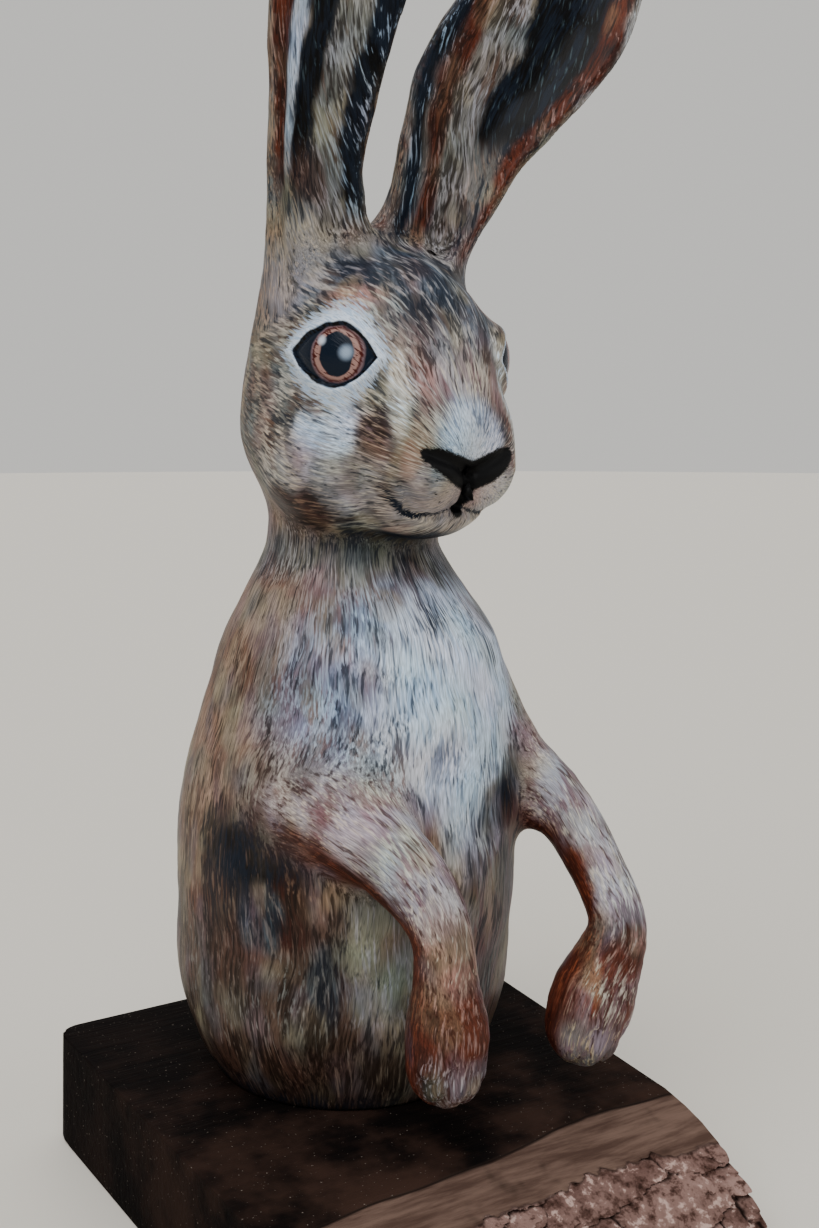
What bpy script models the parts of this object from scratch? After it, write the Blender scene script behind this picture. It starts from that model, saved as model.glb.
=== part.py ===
"""Hare sculpture: a hare sitting upright with its forelegs held out and its paws hanging,
fixed on a dark stained slab of wood that keeps its bark along the front edge.

Metres, +Z up, front at -Y. The origin is at the middle of the underside.
The hare is roughed out of pellets, as clay is built up on an armature, skinned by a voxel
remesh, and settled onto one blended form. Its pose and carving are shares of its own height.
"""

import math
from dataclasses import dataclass

import bmesh
import bpy
import numpy as np
from mathutils import Matrix, Vector, noise

# Driving sizes, in metres and degrees
HARE_HEIGHT = 0.425
HARE_TURN_DEG = 5.5
BOARD_THICKNESS = 0.0345
BOARD_CORNER_RADIUS = 0.008
SEAT_GAP = 0.0003

# The board's top from above, measured from the middle of the hare's foot
BACK_LEFT = (-0.0735, 0.0690)
BACK_RIGHT = (0.0845, 0.0713)
FRONT_LEFT = (-0.0738, -0.0842)
FRONT_RIGHT = (0.0695, -0.0746)
TOP_EDGE = [(-0.0738, -0.0842), (-0.0307, -0.0809), (-0.0018, -0.0794), (0.0379, -0.0722),
            (0.0695, -0.0746)]

# The bark along the front: its share of the way out at each share of the way down the edge
BARK_SLOPE = [(0, 0), (0.05, 0.17), (0.12, 0.33), (0.25, 0.54), (0.45, 0.73), (0.65, 0.9),
              (0.85, 0.985), (1, 1)]
BARK_FOOT_Y = -0.1235
BARK_STARTS = 0.14
BARK_FLAKE = 0.011
BARK_RELIEF = 0.0028
BARK_COLUMNS = 40
BARK_ROWS = 12

# Modelling detail
SKIN_VOXEL_PARTS = 1.7
HARE_TRIANGLES = 8200
SETTLE_PASSES = 6
PELLET_STEP_PARTS = 3.2
PELLET_FACES = 1
CLEAR_OF_FORM = 14.0
FOOT_TOLERANCE_PARTS = 0.2

# The hare's height is divided into this many parts, and every place on it is told in parts:
# side (towards the hare's left), ahead (the way it faces) and up from the board.
PARTS_IN_HEIGHT = 425.0


def smooth_path(stations, count):
    """Returns count rows read from a smooth curve through the rows of stations."""
    rows = np.asarray(stations, float)
    ends = np.vstack([2 * rows[0] - rows[1], rows, 2 * rows[-1] - rows[-2]])
    place = np.linspace(0, len(rows) - 1 - 1e-9, count)
    step = place.astype(int)
    t = (place - step)[:, None]
    before, start, stop, after = (ends[step + k] for k in range(4))
    return 0.5 * (
        2 * start
        + (stop - before) * t
        + (2 * before - 5 * start + 4 * stop - after) * t**2
        + (3 * start - before - 3 * stop + after) * t**3
    )


def merge(a, b, reach):
    """Returns the nearer of two distances, rounded over where the two forms meet."""
    share = np.clip(0.5 + 0.5 * (b - a) / reach, 0, 1)
    return b + (a - b) * share - reach * share * (1 - share)


def measure_near(points, low, high, distance):
    """Returns distance(points), with a plain box distance for points well clear of the form."""
    off = np.linalg.norm(np.maximum(0, np.maximum(low - points, points - high)), axis=1)
    near = off < CLEAR_OF_FORM
    result = off + CLEAR_OF_FORM
    if near.any():
        result[near] = distance(points[near])
    return result


@dataclass
class Ball:
    """An ellipsoid, told by its centre and its radii to the side, ahead and up, nodding forward."""

    centre: tuple
    radii: tuple
    nod_deg: float = 0.0

    def turn(self):
        """Returns the matrix that nods the ball forward about the side axis."""
        return np.array(Matrix.Rotation(math.radians(-self.nod_deg), 3, "X"))

    def distance(self, points):
        """Returns how far each point is from the ball, less than 0 inside."""
        local = (points - self.centre) @ self.turn()
        near = np.linalg.norm(local / self.radii, axis=1)
        slope = np.linalg.norm(local / np.square(self.radii), axis=1)
        return near * (near - 1) / np.maximum(slope, 1e-6)

    def pellets(self):
        """Yields the ball as one pellet."""
        stretch = Matrix.Diagonal((*self.radii, 1))
        yield Matrix.Translation(self.centre) @ Matrix(self.turn()).to_4x4() @ stretch


class Limb:
    """A round tapering limb along a smooth curve through joints (side, ahead, up, radius)."""

    def __init__(self, joints, steps=22):
        self.row = smooth_path(joints, steps)
        self.low = (self.row[:, :3] - self.row[:, 3:]).min(0)
        self.high = (self.row[:, :3] + self.row[:, 3:]).max(0)

    def distance(self, points):
        """Returns how far each point is from the limb's skin, less than 0 inside."""
        return measure_near(points, self.low, self.high, self.skin_distance)

    def skin_distance(self, points):
        """Returns the distance to the nearest step of the limb."""
        best = np.full(len(points), 1e9)
        for start, stop in zip(self.row[:-1], self.row[1:]):
            along = stop[:3] - start[:3]
            t = np.clip((points - start[:3]) @ along / (along @ along), 0, 1)
            gap = np.linalg.norm(points - start[:3] - t[:, None] * along, axis=1)
            best = np.minimum(best, gap - start[3] - t * (stop[3] - start[3]))
        return best

    def pellets(self):
        """Yields a pellet for each step along the limb."""
        for side, ahead, up, radius in self.row:
            yield Matrix.Translation((side, ahead, up)) @ Matrix.Scale(radius, 4)


class Torso:
    """The trunk: oval sections stacked up an axis, told by (up, ahead, half width, half depth)."""

    def __init__(self, stations):
        self.row = smooth_path(stations, 90)

    def section(self, up):
        """Returns the middle, half width and half depth of the section at each height."""
        return (np.interp(up, self.row[:, 0], self.row[:, k]) for k in (1, 2, 3))

    def distance(self, points):
        """Returns how far each point is from the trunk, less than 0 inside."""
        side, ahead, up = points.T
        middle, half_width, half_depth = self.section(up)
        oval = np.hypot(side / half_width, (ahead - middle) / half_depth)
        sides = (oval - 1) * np.minimum(half_width, half_depth)
        ends = np.maximum(self.row[0, 0] - up, up - self.row[-1, 0])
        return np.maximum(sides, ends)

    def pellets(self):
        """Yields a flat pellet for each section."""
        for up, ahead, half_width, half_depth in self.row:
            yield Matrix.Translation((0, ahead, up)) @ Matrix.Diagonal(
                (half_width, half_depth, 5, 1)
            )


class Ear:
    """A long leaf with thick rims, hollow on its face, on an axis from root to tip."""

    OUTLINE = [(0, 8), (0.07, 13), (0.14, 16.5), (0.26, 19.5), (0.4, 23), (0.54, 25), (0.68, 24),
               (0.82, 18.5), (0.92, 12.5), (0.98, 7.5), (1, 5.5)]
    HOLLOW = [(0, 6), (0.12, 11), (0.25, 12), (0.5, 8), (0.8, 4), (1, 1)]
    WALL = 2.2
    RIM = 1.5
    RIM_WIDTH = 3.6
    RIDGE = 1.4
    ROOT_FILL = 5.0

    def __init__(self, root, tip, face_deg, sway, backbend, breadth):
        self.root = np.array(root, float)
        reach = np.array(tip, float) - self.root
        self.length = np.linalg.norm(reach)
        self.axis = reach / self.length
        face = np.array([math.sin(math.radians(face_deg)), math.cos(math.radians(face_deg)), 0])
        face -= self.axis * (face @ self.axis)
        self.face = face / np.linalg.norm(face)
        self.across = np.cross(self.face, self.axis)
        self.sway, self.backbend = sway, backbend
        self.outline = smooth_path(self.OUTLINE, 60) * (1, breadth)
        self.hollow = smooth_path(self.HOLLOW, 40)
        ends = np.array([self.root, self.root + reach])
        self.low, self.high = ends.min(0) - 32, ends.max(0) + 32

    def half_width(self, share):
        """Returns the ear's half width at each share of its length."""
        return np.interp(share, self.outline[:, 0], self.outline[:, 1])

    def lift(self, share, across_share):
        """Returns how far the leaf stands towards its face, at its rims and along its bend."""
        cup = np.interp(share, self.hollow[:, 0], self.hollow[:, 1])
        return cup * across_share**2 - self.backbend * 4 * share * (1 - share)

    def thickness(self, share, across, half_width):
        """Returns half the leaf's thickness: fuller at the root, with a bead along each rim."""
        bead = np.exp(-(((np.abs(across) - half_width + self.RIM_WIDTH) / self.RIM_WIDTH) ** 2))
        ridge = np.exp(-((across / (0.24 * half_width)) ** 2)) * (1 - share)
        root = np.exp(-((share / 0.12) ** 2))
        return self.WALL + self.RIM * bead + self.RIDGE * ridge + self.ROOT_FILL * root

    def distance(self, points):
        """Returns how far each point is from the leaf, less than 0 inside."""
        return measure_near(points, self.low, self.high, self.leaf_distance)

    def leaf_distance(self, points):
        """Returns the distance to the leaf's curved sheet less half its thickness."""
        local = points - self.root
        share = np.clip(local @ self.axis / self.length, 0, 1)
        half_width = self.half_width(share)
        across = local @ self.across - self.sway * 4 * share * (1 - share)
        half = self.thickness(share, across, half_width)
        flat = np.maximum(half_width - half, 0.5)
        held = np.clip(across, -flat, flat)
        through = local @ self.face - self.lift(share, held / half_width)
        beyond = np.maximum(np.abs(local @ self.axis - self.length / 2) - self.length / 2, 0)
        return np.sqrt((across - held) ** 2 + through**2 + beyond**2) - half

    def pellets(self):
        """Yields rows of small pellets over the leaf."""
        for share in np.arange(0, 1, PELLET_STEP_PARTS / self.length):
            half_width = float(self.half_width(share))
            rows = max(2, math.ceil(2 * half_width / PELLET_STEP_PARTS))
            for across in np.linspace(-half_width, half_width, rows):
                half = float(self.thickness(share, across, half_width))
                flat = max(half_width - half, 0.5)
                held = min(max(across, -flat), flat)
                lift = float(self.lift(share, held / half_width))
                place = (
                    self.root
                    + self.axis * share * self.length
                    + self.across * (held + self.sway * 4 * share * (1 - share))
                    + self.face * lift
                )
                yield Matrix.Translation(place) @ Matrix.Scale(half, 4)


class Mark:
    """A line drawn on the skin as seen along one direction, standing proud of it or sunk."""

    DEPTH_SEEN = 12.0

    def __init__(self, origin, across, upward, drawn, height, width):
        self.origin = np.array(origin, float)
        self.across, self.upward = np.array(across, float), np.array(upward, float)
        self.toward = np.cross(self.upward, self.across)
        self.drawn = np.array(drawn, float)
        self.height, self.width = height, width

    def rise(self, points):
        """Returns how far the mark lifts the skin at each point, less than 0 where sunk."""
        local = points - self.origin
        flat = np.stack([local @ self.across, local @ self.upward], axis=1)
        low = self.drawn.min(0) - 3 * self.width
        high = self.drawn.max(0) + 3 * self.width
        near = ((flat > low) & (flat < high)).all(1) & (local @ self.toward > -self.DEPTH_SEEN)
        result = np.zeros(len(points))
        best = np.full(near.sum(), 1e9)
        for start, stop in zip(self.drawn[:-1], self.drawn[1:]):
            along = stop - start
            t = np.clip((flat[near] - start) @ along / (along @ along), 0, 1)
            gap = np.linalg.norm(flat[near] - start - t[:, None] * along, axis=1)
            best = np.minimum(best, gap)
        result[near] = self.height * np.exp(-((best / self.width) ** 2))
        return result


@dataclass
class Eye:
    """A bulging eye in an almond of lids, on the side of the head."""

    side: float
    ahead: float = 38.5
    up: float = 224.4
    outward_deg: float = 57.0
    ball_radius: float = 15.0
    half_length: float = 13.0
    half_height: float = 9.8
    tilt_deg: float = -5.0
    lid_height: float = 1.1
    lid_width: float = 2.2

    def frame(self):
        """Returns the outward, backward and upward directions of the eye."""
        sign = math.copysign(1, self.side)
        angle = math.radians(self.outward_deg)
        outward = np.array([sign * math.sin(angle), math.cos(angle), 0.0])
        back = np.array([outward[1] * sign, -outward[0] * sign, 0.0])
        lean = math.radians(self.tilt_deg)
        up = np.array([0.0, 0.0, 1.0])
        along = back * math.cos(lean) - up * math.sin(lean)
        rise = up * math.cos(lean) + back * math.sin(lean)
        return outward, along, rise

    def ball(self):
        """Returns the eyeball."""
        centre = np.array([self.side, self.ahead, self.up]) - self.frame()[0] * self.ball_radius
        return Ball(tuple(centre), (self.ball_radius,) * 3)

    def lids(self):
        """Returns the raised almond of the lids."""
        outward, along, rise = self.frame()
        if np.cross(rise, along) @ outward < 0:
            along = -along
        drawn = []
        for angle in np.linspace(0, 2 * math.pi, 25):
            pinch = 1 - 0.25 * math.cos(angle) ** 2
            drawn.append((self.half_length * math.cos(angle),
                          self.half_height * math.sin(angle) * pinch))
        surface = (self.side, self.ahead, self.up)
        return Mark(surface, along, rise, drawn, self.lid_height, self.lid_width)


TORSO = Torso([
    (-14, 0, 37, 38), (-6, 0, 38.5, 39.5), (0, 0, 40.5, 41.5), (8, 0, 44.5, 45.5), (17, -0.5, 47, 48.5),
    (30, -1, 50, 51.5), (50, -1, 53, 55), (66, -1, 54, 56), (85, -0.5, 53.5, 55.5),
    (101, 1.5, 51, 53.5), (113, 4, 49, 51), (126, 6, 46.5, 48), (138, 6.5, 43, 44.5),
    (150, 4.5, 36, 38), (160, 3, 30, 32), (168, 2.5, 27, 29), (182, 3, 26.5, 28),
    (196, 4, 26, 28),
])
HAUNCHES = [Ball((side, -2, 30), (21, 37, 29)) for side in (-29, 29)]
RUMP = Ball((0, -24, 40), (40, 37, 40))
SHOULDERS = [Ball((side, 20, 106), (19, 20, 23)) for side in (-28, 30)]

CRANIUM = Ball((0, 9, 222), (34.5, 44, 40))
NAPE = Ball((0, -1, 201), (33, 34, 31))
BROW = Ball((0, 27, 220), (29.5, 27, 30), 14)
FACE = Ball((0, 35, 206), (26.5, 25, 27), 10)
MUZZLE = Ball((0, 42, 199), (22.5, 20, 17))
CHEEKS = [Ball((side, 19, 195), (17, 26, 23)) for side in (-20.5, 20.5)]
MUZZLE_SIDES = [Ball((side, 43, 200), (14, 16, 15)) for side in (-12, 12)]
WHISKER_PADS = [Ball((side, 50, 189), (13, 12.8, 11)) for side in (-10, 10)]
CHIN = Ball((0, 41, 179), (15, 14, 9))
JAW = Ball((0, 27, 184), (24, 25, 14))
EYES = [Eye(-32), Eye(32)]

# The face's lines as seen from straight ahead: nostrils, the cleft below them and the mouth
AHEAD = {"origin": (0, 50, 0), "across": (1, 0, 0), "upward": (0, 0, 1)}
FACE_LINES = [
    Mark(drawn=[(-15, 196), (-9, 193.5), (0, 189.5), (9, 193.5), (15, 196)],
         height=-1.5, width=2.3, **AHEAD),
    Mark(drawn=[(0, 189.5), (0, 180)], height=-1.6, width=1.9, **AHEAD),
    Mark(drawn=[(-20.5, 187), (-15, 178.4), (-8.4, 176.6), (0, 180), (8.4, 176.6),
                (15, 178.4), (20.5, 187)], height=-1.4, width=1.8, **AHEAD),
]

RIGHT_EAR = Ear(root=(-24, 3, 232), tip=(-31, 50, 421), face_deg=-4, sway=-1.5, backbend=-3,
                breadth=0.95)
LEFT_EAR = Ear(root=(6, 9, 230), tip=(83, 44, 413), face_deg=-28, sway=1.5, backbend=-3,
               breadth=1.12)

RIGHT_FORELEG = Limb([
    (-24, 10, 98, 16), (-33, 27, 94, 15), (-31, 45, 88.6, 12.8), (-27.2, 62.8, 79.9, 11.2),
    (-24.2, 73.2, 70.9, 9.8), (-23.1, 77.2, 61.4, 8.8), (-22.2, 77, 50.1, 9.6),
    (-21.2, 76.4, 38, 12), (-20.6, 75.4, 27.6, 11.6),
])
LEFT_FORELEG = Limb([
    (26, 14, 102, 17), (39, 29, 95, 14), (46.5, 48, 84.5, 10.3), (45, 64, 73, 9),
    (42.2, 76.5, 62.4, 8.8), (40.7, 81.3, 53.2, 9.2), (36.8, 80.1, 43.1, 11),
    (32.8, 78.5, 34, 12.8), (30.8, 77.2, 26, 11.8),
])

# Each form with how far its blend into the forms before it reaches
BUILD_UP = (
    [(TORSO, 1.0), (RUMP, 12)]
    + [(ball, 9) for ball in HAUNCHES + SHOULDERS]
    + [(RIGHT_FORELEG, 13), (LEFT_FORELEG, 13)]
)
HEAD_BUILD_UP = (
    [(CRANIUM, 1.0), (NAPE, 12), (BROW, 10), (FACE, 10)]
    + [(ball, 9) for ball in CHEEKS]
    + [(MUZZLE, 10), (JAW, 8), (CHIN, 8)]
    + [(ball, 7) for ball in MUZZLE_SIDES + WHISKER_PADS]
    + [(eye.ball(), 4) for eye in EYES]
)
EARS = [(RIGHT_EAR, 13), (LEFT_EAR, 13)]
MARKS = FACE_LINES + [eye.lids() for eye in EYES]
HEAD_TO_NECK = 6.0


def build_up(forms, points):
    """Returns the distance to forms blended one after another."""
    total = None
    for form, reach in forms:
        own = form.distance(points)
        total = own if total is None else merge(total, own, reach)
    return total


def hare_distance(points):
    """Returns the distance of each point from the whole figure's skin, less than 0 inside."""
    head = build_up(HEAD_BUILD_UP, points)
    for ear, reach in EARS:
        head = merge(head, ear.distance(points), reach)
    figure = merge(build_up(BUILD_UP, points), head, HEAD_TO_NECK)
    for mark in MARKS:
        figure -= mark.rise(points)
    return figure


def rough_figure():
    """Returns a mesh of every form's pellets, overlapping, in parts."""
    bm = bmesh.new()
    for form, _ in BUILD_UP + HEAD_BUILD_UP + EARS:
        many = isinstance(form, Ear)
        for placing in form.pellets():
            bmesh.ops.create_icosphere(
                bm, subdivisions=PELLET_FACES if many else 3, radius=1, matrix=placing
            )
    mesh = bpy.data.meshes.new("rough_hare")
    bm.to_mesh(mesh)
    bm.free()
    return mesh


def evaluated_mesh(obj):
    """Returns a new mesh of the object as its modifiers leave it."""
    bpy.context.view_layer.update()
    graph = bpy.context.evaluated_depsgraph_get()
    return bpy.data.meshes.new_from_object(obj.evaluated_get(graph))


def points_of(mesh):
    """Returns the mesh's points as rows."""
    points = np.empty(len(mesh.vertices) * 3)
    mesh.vertices.foreach_get("co", points)
    return points.reshape(-1, 3)


def neighbour_mean(points, first, second):
    """Returns the middle of each point's neighbours, given the two ends of every edge."""
    here, there = np.concatenate([first, second]), np.concatenate([second, first])
    totals = [np.bincount(here, points[there, k], len(points)) for k in range(3)]
    return np.stack(totals, axis=1) / np.bincount(here, minlength=len(points))[:, None]


def settle(mesh, distance):
    """Moves each point of the mesh onto the form's skin, keeping the points evenly spread."""
    points = points_of(mesh)
    ends = np.empty(len(mesh.edges) * 2, int)
    mesh.edges.foreach_get("vertices", ends)
    first, second = ends.reshape(-1, 2).T
    probe = 0.05
    for step in range(SETTLE_PASSES):
        if step:
            points += 0.5 * (neighbour_mean(points, first, second) - points)
        for _ in range(1 if step < SETTLE_PASSES - 1 else 3):
            here = distance(points)
            slope = np.stack(
                [(distance(points + probe * way) - here) / probe for way in np.eye(3)], axis=1
            )
            steep = np.maximum((slope**2).sum(1), 0.2)
            points -= slope * np.clip(here / steep, -2.5, 2.5)[:, None]
    mesh.vertices.foreach_set("co", points.ravel())
    mesh.update()


def cut_flat(mesh):
    """Cuts the mesh off flat at the height of the board's top and closes the cut."""
    bm = bmesh.new()
    bm.from_mesh(mesh)
    everything = bm.verts[:] + bm.edges[:] + bm.faces[:]
    bmesh.ops.bisect_plane(
        bm, geom=everything, dist=0.05, plane_co=(0, 0, 0), plane_no=(0, 0, 1), clear_inner=True
    )
    rim = [edge for edge in bm.edges if edge.is_boundary]
    bmesh.ops.contextual_create(bm, geom=rim)
    bmesh.ops.triangulate(bm, faces=bm.faces[:])
    bmesh.ops.recalc_face_normals(bm, faces=bm.faces[:])
    bm.to_mesh(mesh)
    bm.free()


def level_foot(mesh):
    """Puts every point within a hair of the cut exactly on it."""
    for vert in mesh.vertices:
        if vert.co.z < FOOT_TOLERANCE_PARTS:
            vert.co.z = 0


def make_hare(material):
    """Returns the hare as one closed solid, in place on the board."""
    rough = bpy.data.objects.new("hare", rough_figure())
    HARE_COLLECTION.objects.link(rough)
    skin = rough.modifiers.new("Skin", "REMESH")
    skin.mode = "VOXEL"
    skin.voxel_size = SKIN_VOXEL_PARTS
    mesh = evaluated_mesh(rough)
    rough.modifiers.clear()
    settle(mesh, hare_distance)
    cut_flat(mesh)
    rough.data = mesh
    fewer = rough.modifiers.new("Fewer faces", "DECIMATE")
    fewer.ratio = HARE_TRIANGLES / len(mesh.polygons)
    fewer.use_collapse_triangulate = True
    mesh = evaluated_mesh(rough)
    rough.modifiers.clear()
    level_foot(mesh)
    part = HARE_HEIGHT / PARTS_IN_HEIGHT
    to_metres = Matrix.Diagonal((part, -part, part, 1))
    mesh.transform(to_metres)
    mesh.flip_normals()
    mesh.shade_smooth()
    rough.data = mesh
    mesh.materials.append(material)
    rough.location.z = BOARD_THICKNESS + SEAT_GAP
    rough.rotation_euler.z = math.radians(HARE_TURN_DEG)
    return rough


def corner_places(share_back):
    """Returns the board's left and right edges at a share of the way from front to back."""
    left = FRONT_LEFT[0] + (BACK_LEFT[0] - FRONT_LEFT[0]) * share_back
    right = FRONT_RIGHT[0] + (BACK_RIGHT[0] - FRONT_RIGHT[0]) * share_back
    return left, right


def bark_reach(across, front, drop):
    """Returns how far the bark stands out from the top's edge at a share down from the top."""
    slope = np.interp(drop, [row[0] for row in BARK_SLOPE], [row[1] for row in BARK_SLOPE])
    reach = slope * (front - BARK_FOOT_Y)
    if drop < BARK_STARTS:
        return reach
    place = Vector((across, (reach + drop * BOARD_THICKNESS), 0)) / BARK_FLAKE
    _, flakes = noise.voronoi(place)
    height = noise.cell(flakes[0] * 37) - 0.5 + 0.7 * noise.noise(place * 0.5)
    return reach + BARK_RELIEF * height * min(1, (drop - BARK_STARTS) / 0.1)


def make_board(material):
    """Returns the slab: sawn on three sides, with a sloping bark edge along its front."""
    bm = bmesh.new()
    bmesh.ops.create_cube(bm, size=1, matrix=Matrix.Translation((0.5, 0.5, 0.5)))
    for count, way in ((BARK_COLUMNS, Vector((1, 0, 0))), (BARK_ROWS, Vector((0, 0, 1)))):
        for step in range(1, count):
            bmesh.ops.bisect_plane(
                bm, geom=bm.verts[:] + bm.edges[:] + bm.faces[:],
                plane_co=way * step / count, plane_no=way,
            )
    for vert in bm.verts:
        share_across, share_back, share_up = vert.co
        left, right = corner_places(share_back)
        across = left + (right - left) * share_across
        front = np.interp(across, [row[0] for row in TOP_EDGE], [row[1] for row in TOP_EDGE])
        back = BACK_LEFT[1] + (BACK_RIGHT[1] - BACK_LEFT[1]) * share_across
        if share_back < 0.5:
            vert.co.y = front - bark_reach(across, front, 1 - share_up)
        else:
            vert.co.y = back
        vert.co.x = across
        vert.co.z = share_up * BOARD_THICKNESS
    upright = [
        edge for edge in bm.edges
        if all(vert.co.x < BACK_LEFT[0] + 0.0005 and vert.co.y > 0 for vert in edge.verts)
        and abs(edge.verts[0].co.z - edge.verts[1].co.z) > 0.0005
    ]
    bmesh.ops.bevel(
        bm, geom=upright, offset=BOARD_CORNER_RADIUS, segments=4, profile=0.5, affect="EDGES"
    )
    bmesh.ops.triangulate(bm, faces=bm.faces[:])
    bmesh.ops.recalc_face_normals(bm, faces=bm.faces[:])
    mesh = bpy.data.meshes.new("board")
    bm.to_mesh(mesh)
    bm.free()
    board = bpy.data.objects.new("board", mesh)
    HARE_COLLECTION.objects.link(board)
    mesh.materials.append(material)
    mesh.shade_smooth()
    return board


def centre_over_origin(pieces):
    """Moves the pieces together so that their outline from above is centred on the origin."""
    bpy.context.view_layer.update()
    places = np.vstack([
        points_of(piece.data) @ np.array(piece.matrix_world.to_3x3()).T
        + np.array(piece.matrix_world.translation)
        for piece in pieces
    ])
    middle = (places.min(0) + places.max(0)) / 2
    for piece in pieces:
        piece.location.x -= middle[0]
        piece.location.y -= middle[1]


def plain_material(name, colour, roughness):
    """Returns a Principled material of one colour."""
    material = bpy.data.materials.new(name)
    material.use_nodes = True
    shader = material.node_tree.nodes["Principled BSDF"]
    shader.inputs["Base Color"].default_value = (*colour, 1)
    shader.inputs["Roughness"].default_value = roughness
    shader.inputs["Metallic"].default_value = 0.0
    return material


for old in list(bpy.data.objects):
    bpy.data.objects.remove(old)
HARE_COLLECTION = bpy.data.collections.new("Hare sculpture")
bpy.context.scene.collection.children.link(HARE_COLLECTION)

centre_over_origin([
    make_hare(plain_material("painted_clay", (0.42, 0.36, 0.31), 0.45)),
    make_board(plain_material("stained_wood", (0.035, 0.024, 0.018), 0.5)),
])
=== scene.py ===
"""Looks of the hare sculpture: painted clay under a satin varnish, on a stained slab with bark.

Metres, +Z up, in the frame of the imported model. The hare itself is told in millimetres of its
own: side (towards its left), ahead (the way it faces) and up from the top of the board.
"""

import logging
import math
from dataclasses import dataclass
from enum import Enum
from typing import Any, Callable, Iterator, Optional, Sequence

import bmesh
import bpy
import numpy as np
from mathutils import Matrix, Vector, noise


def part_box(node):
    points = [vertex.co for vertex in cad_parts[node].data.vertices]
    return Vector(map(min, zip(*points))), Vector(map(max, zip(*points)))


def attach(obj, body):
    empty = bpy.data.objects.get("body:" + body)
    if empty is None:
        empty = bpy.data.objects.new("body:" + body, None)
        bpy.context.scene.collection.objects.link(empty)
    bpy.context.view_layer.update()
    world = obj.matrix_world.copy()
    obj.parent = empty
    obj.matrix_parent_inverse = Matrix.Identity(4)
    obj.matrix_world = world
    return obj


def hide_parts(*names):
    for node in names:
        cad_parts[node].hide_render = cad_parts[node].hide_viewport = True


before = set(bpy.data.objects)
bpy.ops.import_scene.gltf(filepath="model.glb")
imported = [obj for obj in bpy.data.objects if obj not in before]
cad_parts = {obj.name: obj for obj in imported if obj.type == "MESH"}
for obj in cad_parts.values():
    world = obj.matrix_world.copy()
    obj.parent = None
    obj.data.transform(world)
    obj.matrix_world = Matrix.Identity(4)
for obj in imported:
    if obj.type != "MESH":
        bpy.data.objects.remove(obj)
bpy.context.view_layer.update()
PHOTO_WIDTH, PHOTO_HEIGHT = 819, 1228
LOG = logging.getLogger("hare")
# Which of Blender's noises is used, so that every run gives the same hare
NOISE_SEED = 1

# Points and numbers held as rows of an array, one row for each vertex
Rows = np.ndarray
Field = Callable[[Rows], Rows]
Triple = tuple[float, float, float]
Table = Sequence[Sequence[float]]
Mesh = bpy.types.Mesh
Socket = bpy.types.NodeSocket


def smooth_step(value: Rows, low: float, high: float) -> Rows:
    """Returns 0 at low and 1 at high, with a smooth rise between them.

    Args:
        value: The numbers to read.
        low: Where the rise starts.
        high: Where it ends, which may be under low for a fall.
    """
    share = np.clip((value - low) / (high - low), 0, 1)
    return share * share * (3 - 2 * share)


def smooth_path(stations: Table, count: int) -> Rows:
    """Returns rows read from a smooth curve through the stations.

    Args:
        stations: The rows that the curve passes through.
        count: How many rows to return.
    """
    rows = np.asarray(stations, float)
    ends = np.vstack([2 * rows[0] - rows[1], rows, 2 * rows[-1] - rows[-2]])
    place = np.linspace(0, len(rows) - 1 - 1e-9, count)
    step = place.astype(int)
    t = (place - step)[:, None]
    before, start, stop, after = (ends[step + k] for k in range(4))
    return 0.5 * (
        2 * start
        + (stop - before) * t
        + (2 * before - 5 * start + 4 * stop - after) * t**2
        + (3 * start - before - 3 * stop + after) * t**3
    )


def window(value: Rows, span: tuple[float, float], edge: float) -> Rows:
    """Returns 1 within a span and 0 outside it, with ends as soft as the edge is wide."""
    low, high = span
    return smooth_step(value, low - edge, low + edge) * smooth_step(value, high + edge, high - edge)


def linear_light(colour: Sequence[int]) -> Rows:
    """Returns an sRGB colour from 0 to 255 as linear light."""
    share = np.array(colour) / 255
    return np.where(share <= 0.04045, share / 12.92, ((share + 0.055) / 1.055) ** 2.4)


def merge(a: Rows, b: Rows, reach: float) -> Rows:
    """Returns the nearer of two distances, rounded over within reach of where forms meet."""
    share = np.clip(0.5 + 0.5 * (b - a) / reach, 0, 1)
    return b + (a - b) * share - reach * share * (1 - share)


def measure_near(points: Rows, low: Rows, high: Rows, distance: Field) -> Rows:
    """Returns a form's distance, or a plain box distance for points well clear of it.

    Args:
        points: Where to measure.
        low: The lowest corner of the form's box.
        high: The highest corner.
        distance: The form's own distance.
    """
    clear = 14.0
    off = np.linalg.norm(np.maximum(0, np.maximum(low - points, points - high)), axis=1)
    near = off < clear
    result = off + clear
    if near.any():
        result[near] = distance(points[near])
    return result


def ripple(points: Rows, size: float, seed: float) -> Rows:
    """Returns smooth noise at each point, about -1 to 1 in three channels, for one seed.

    Args:
        points: Where to read it.
        size: How far apart its lumps are.
        seed: Which noise it is.
    """
    shift = Vector((seed * 17.3, seed * 5.1, seed * 9.7))
    return np.array([noise.noise_vector(Vector(point) / size + shift) for point in points])


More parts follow.
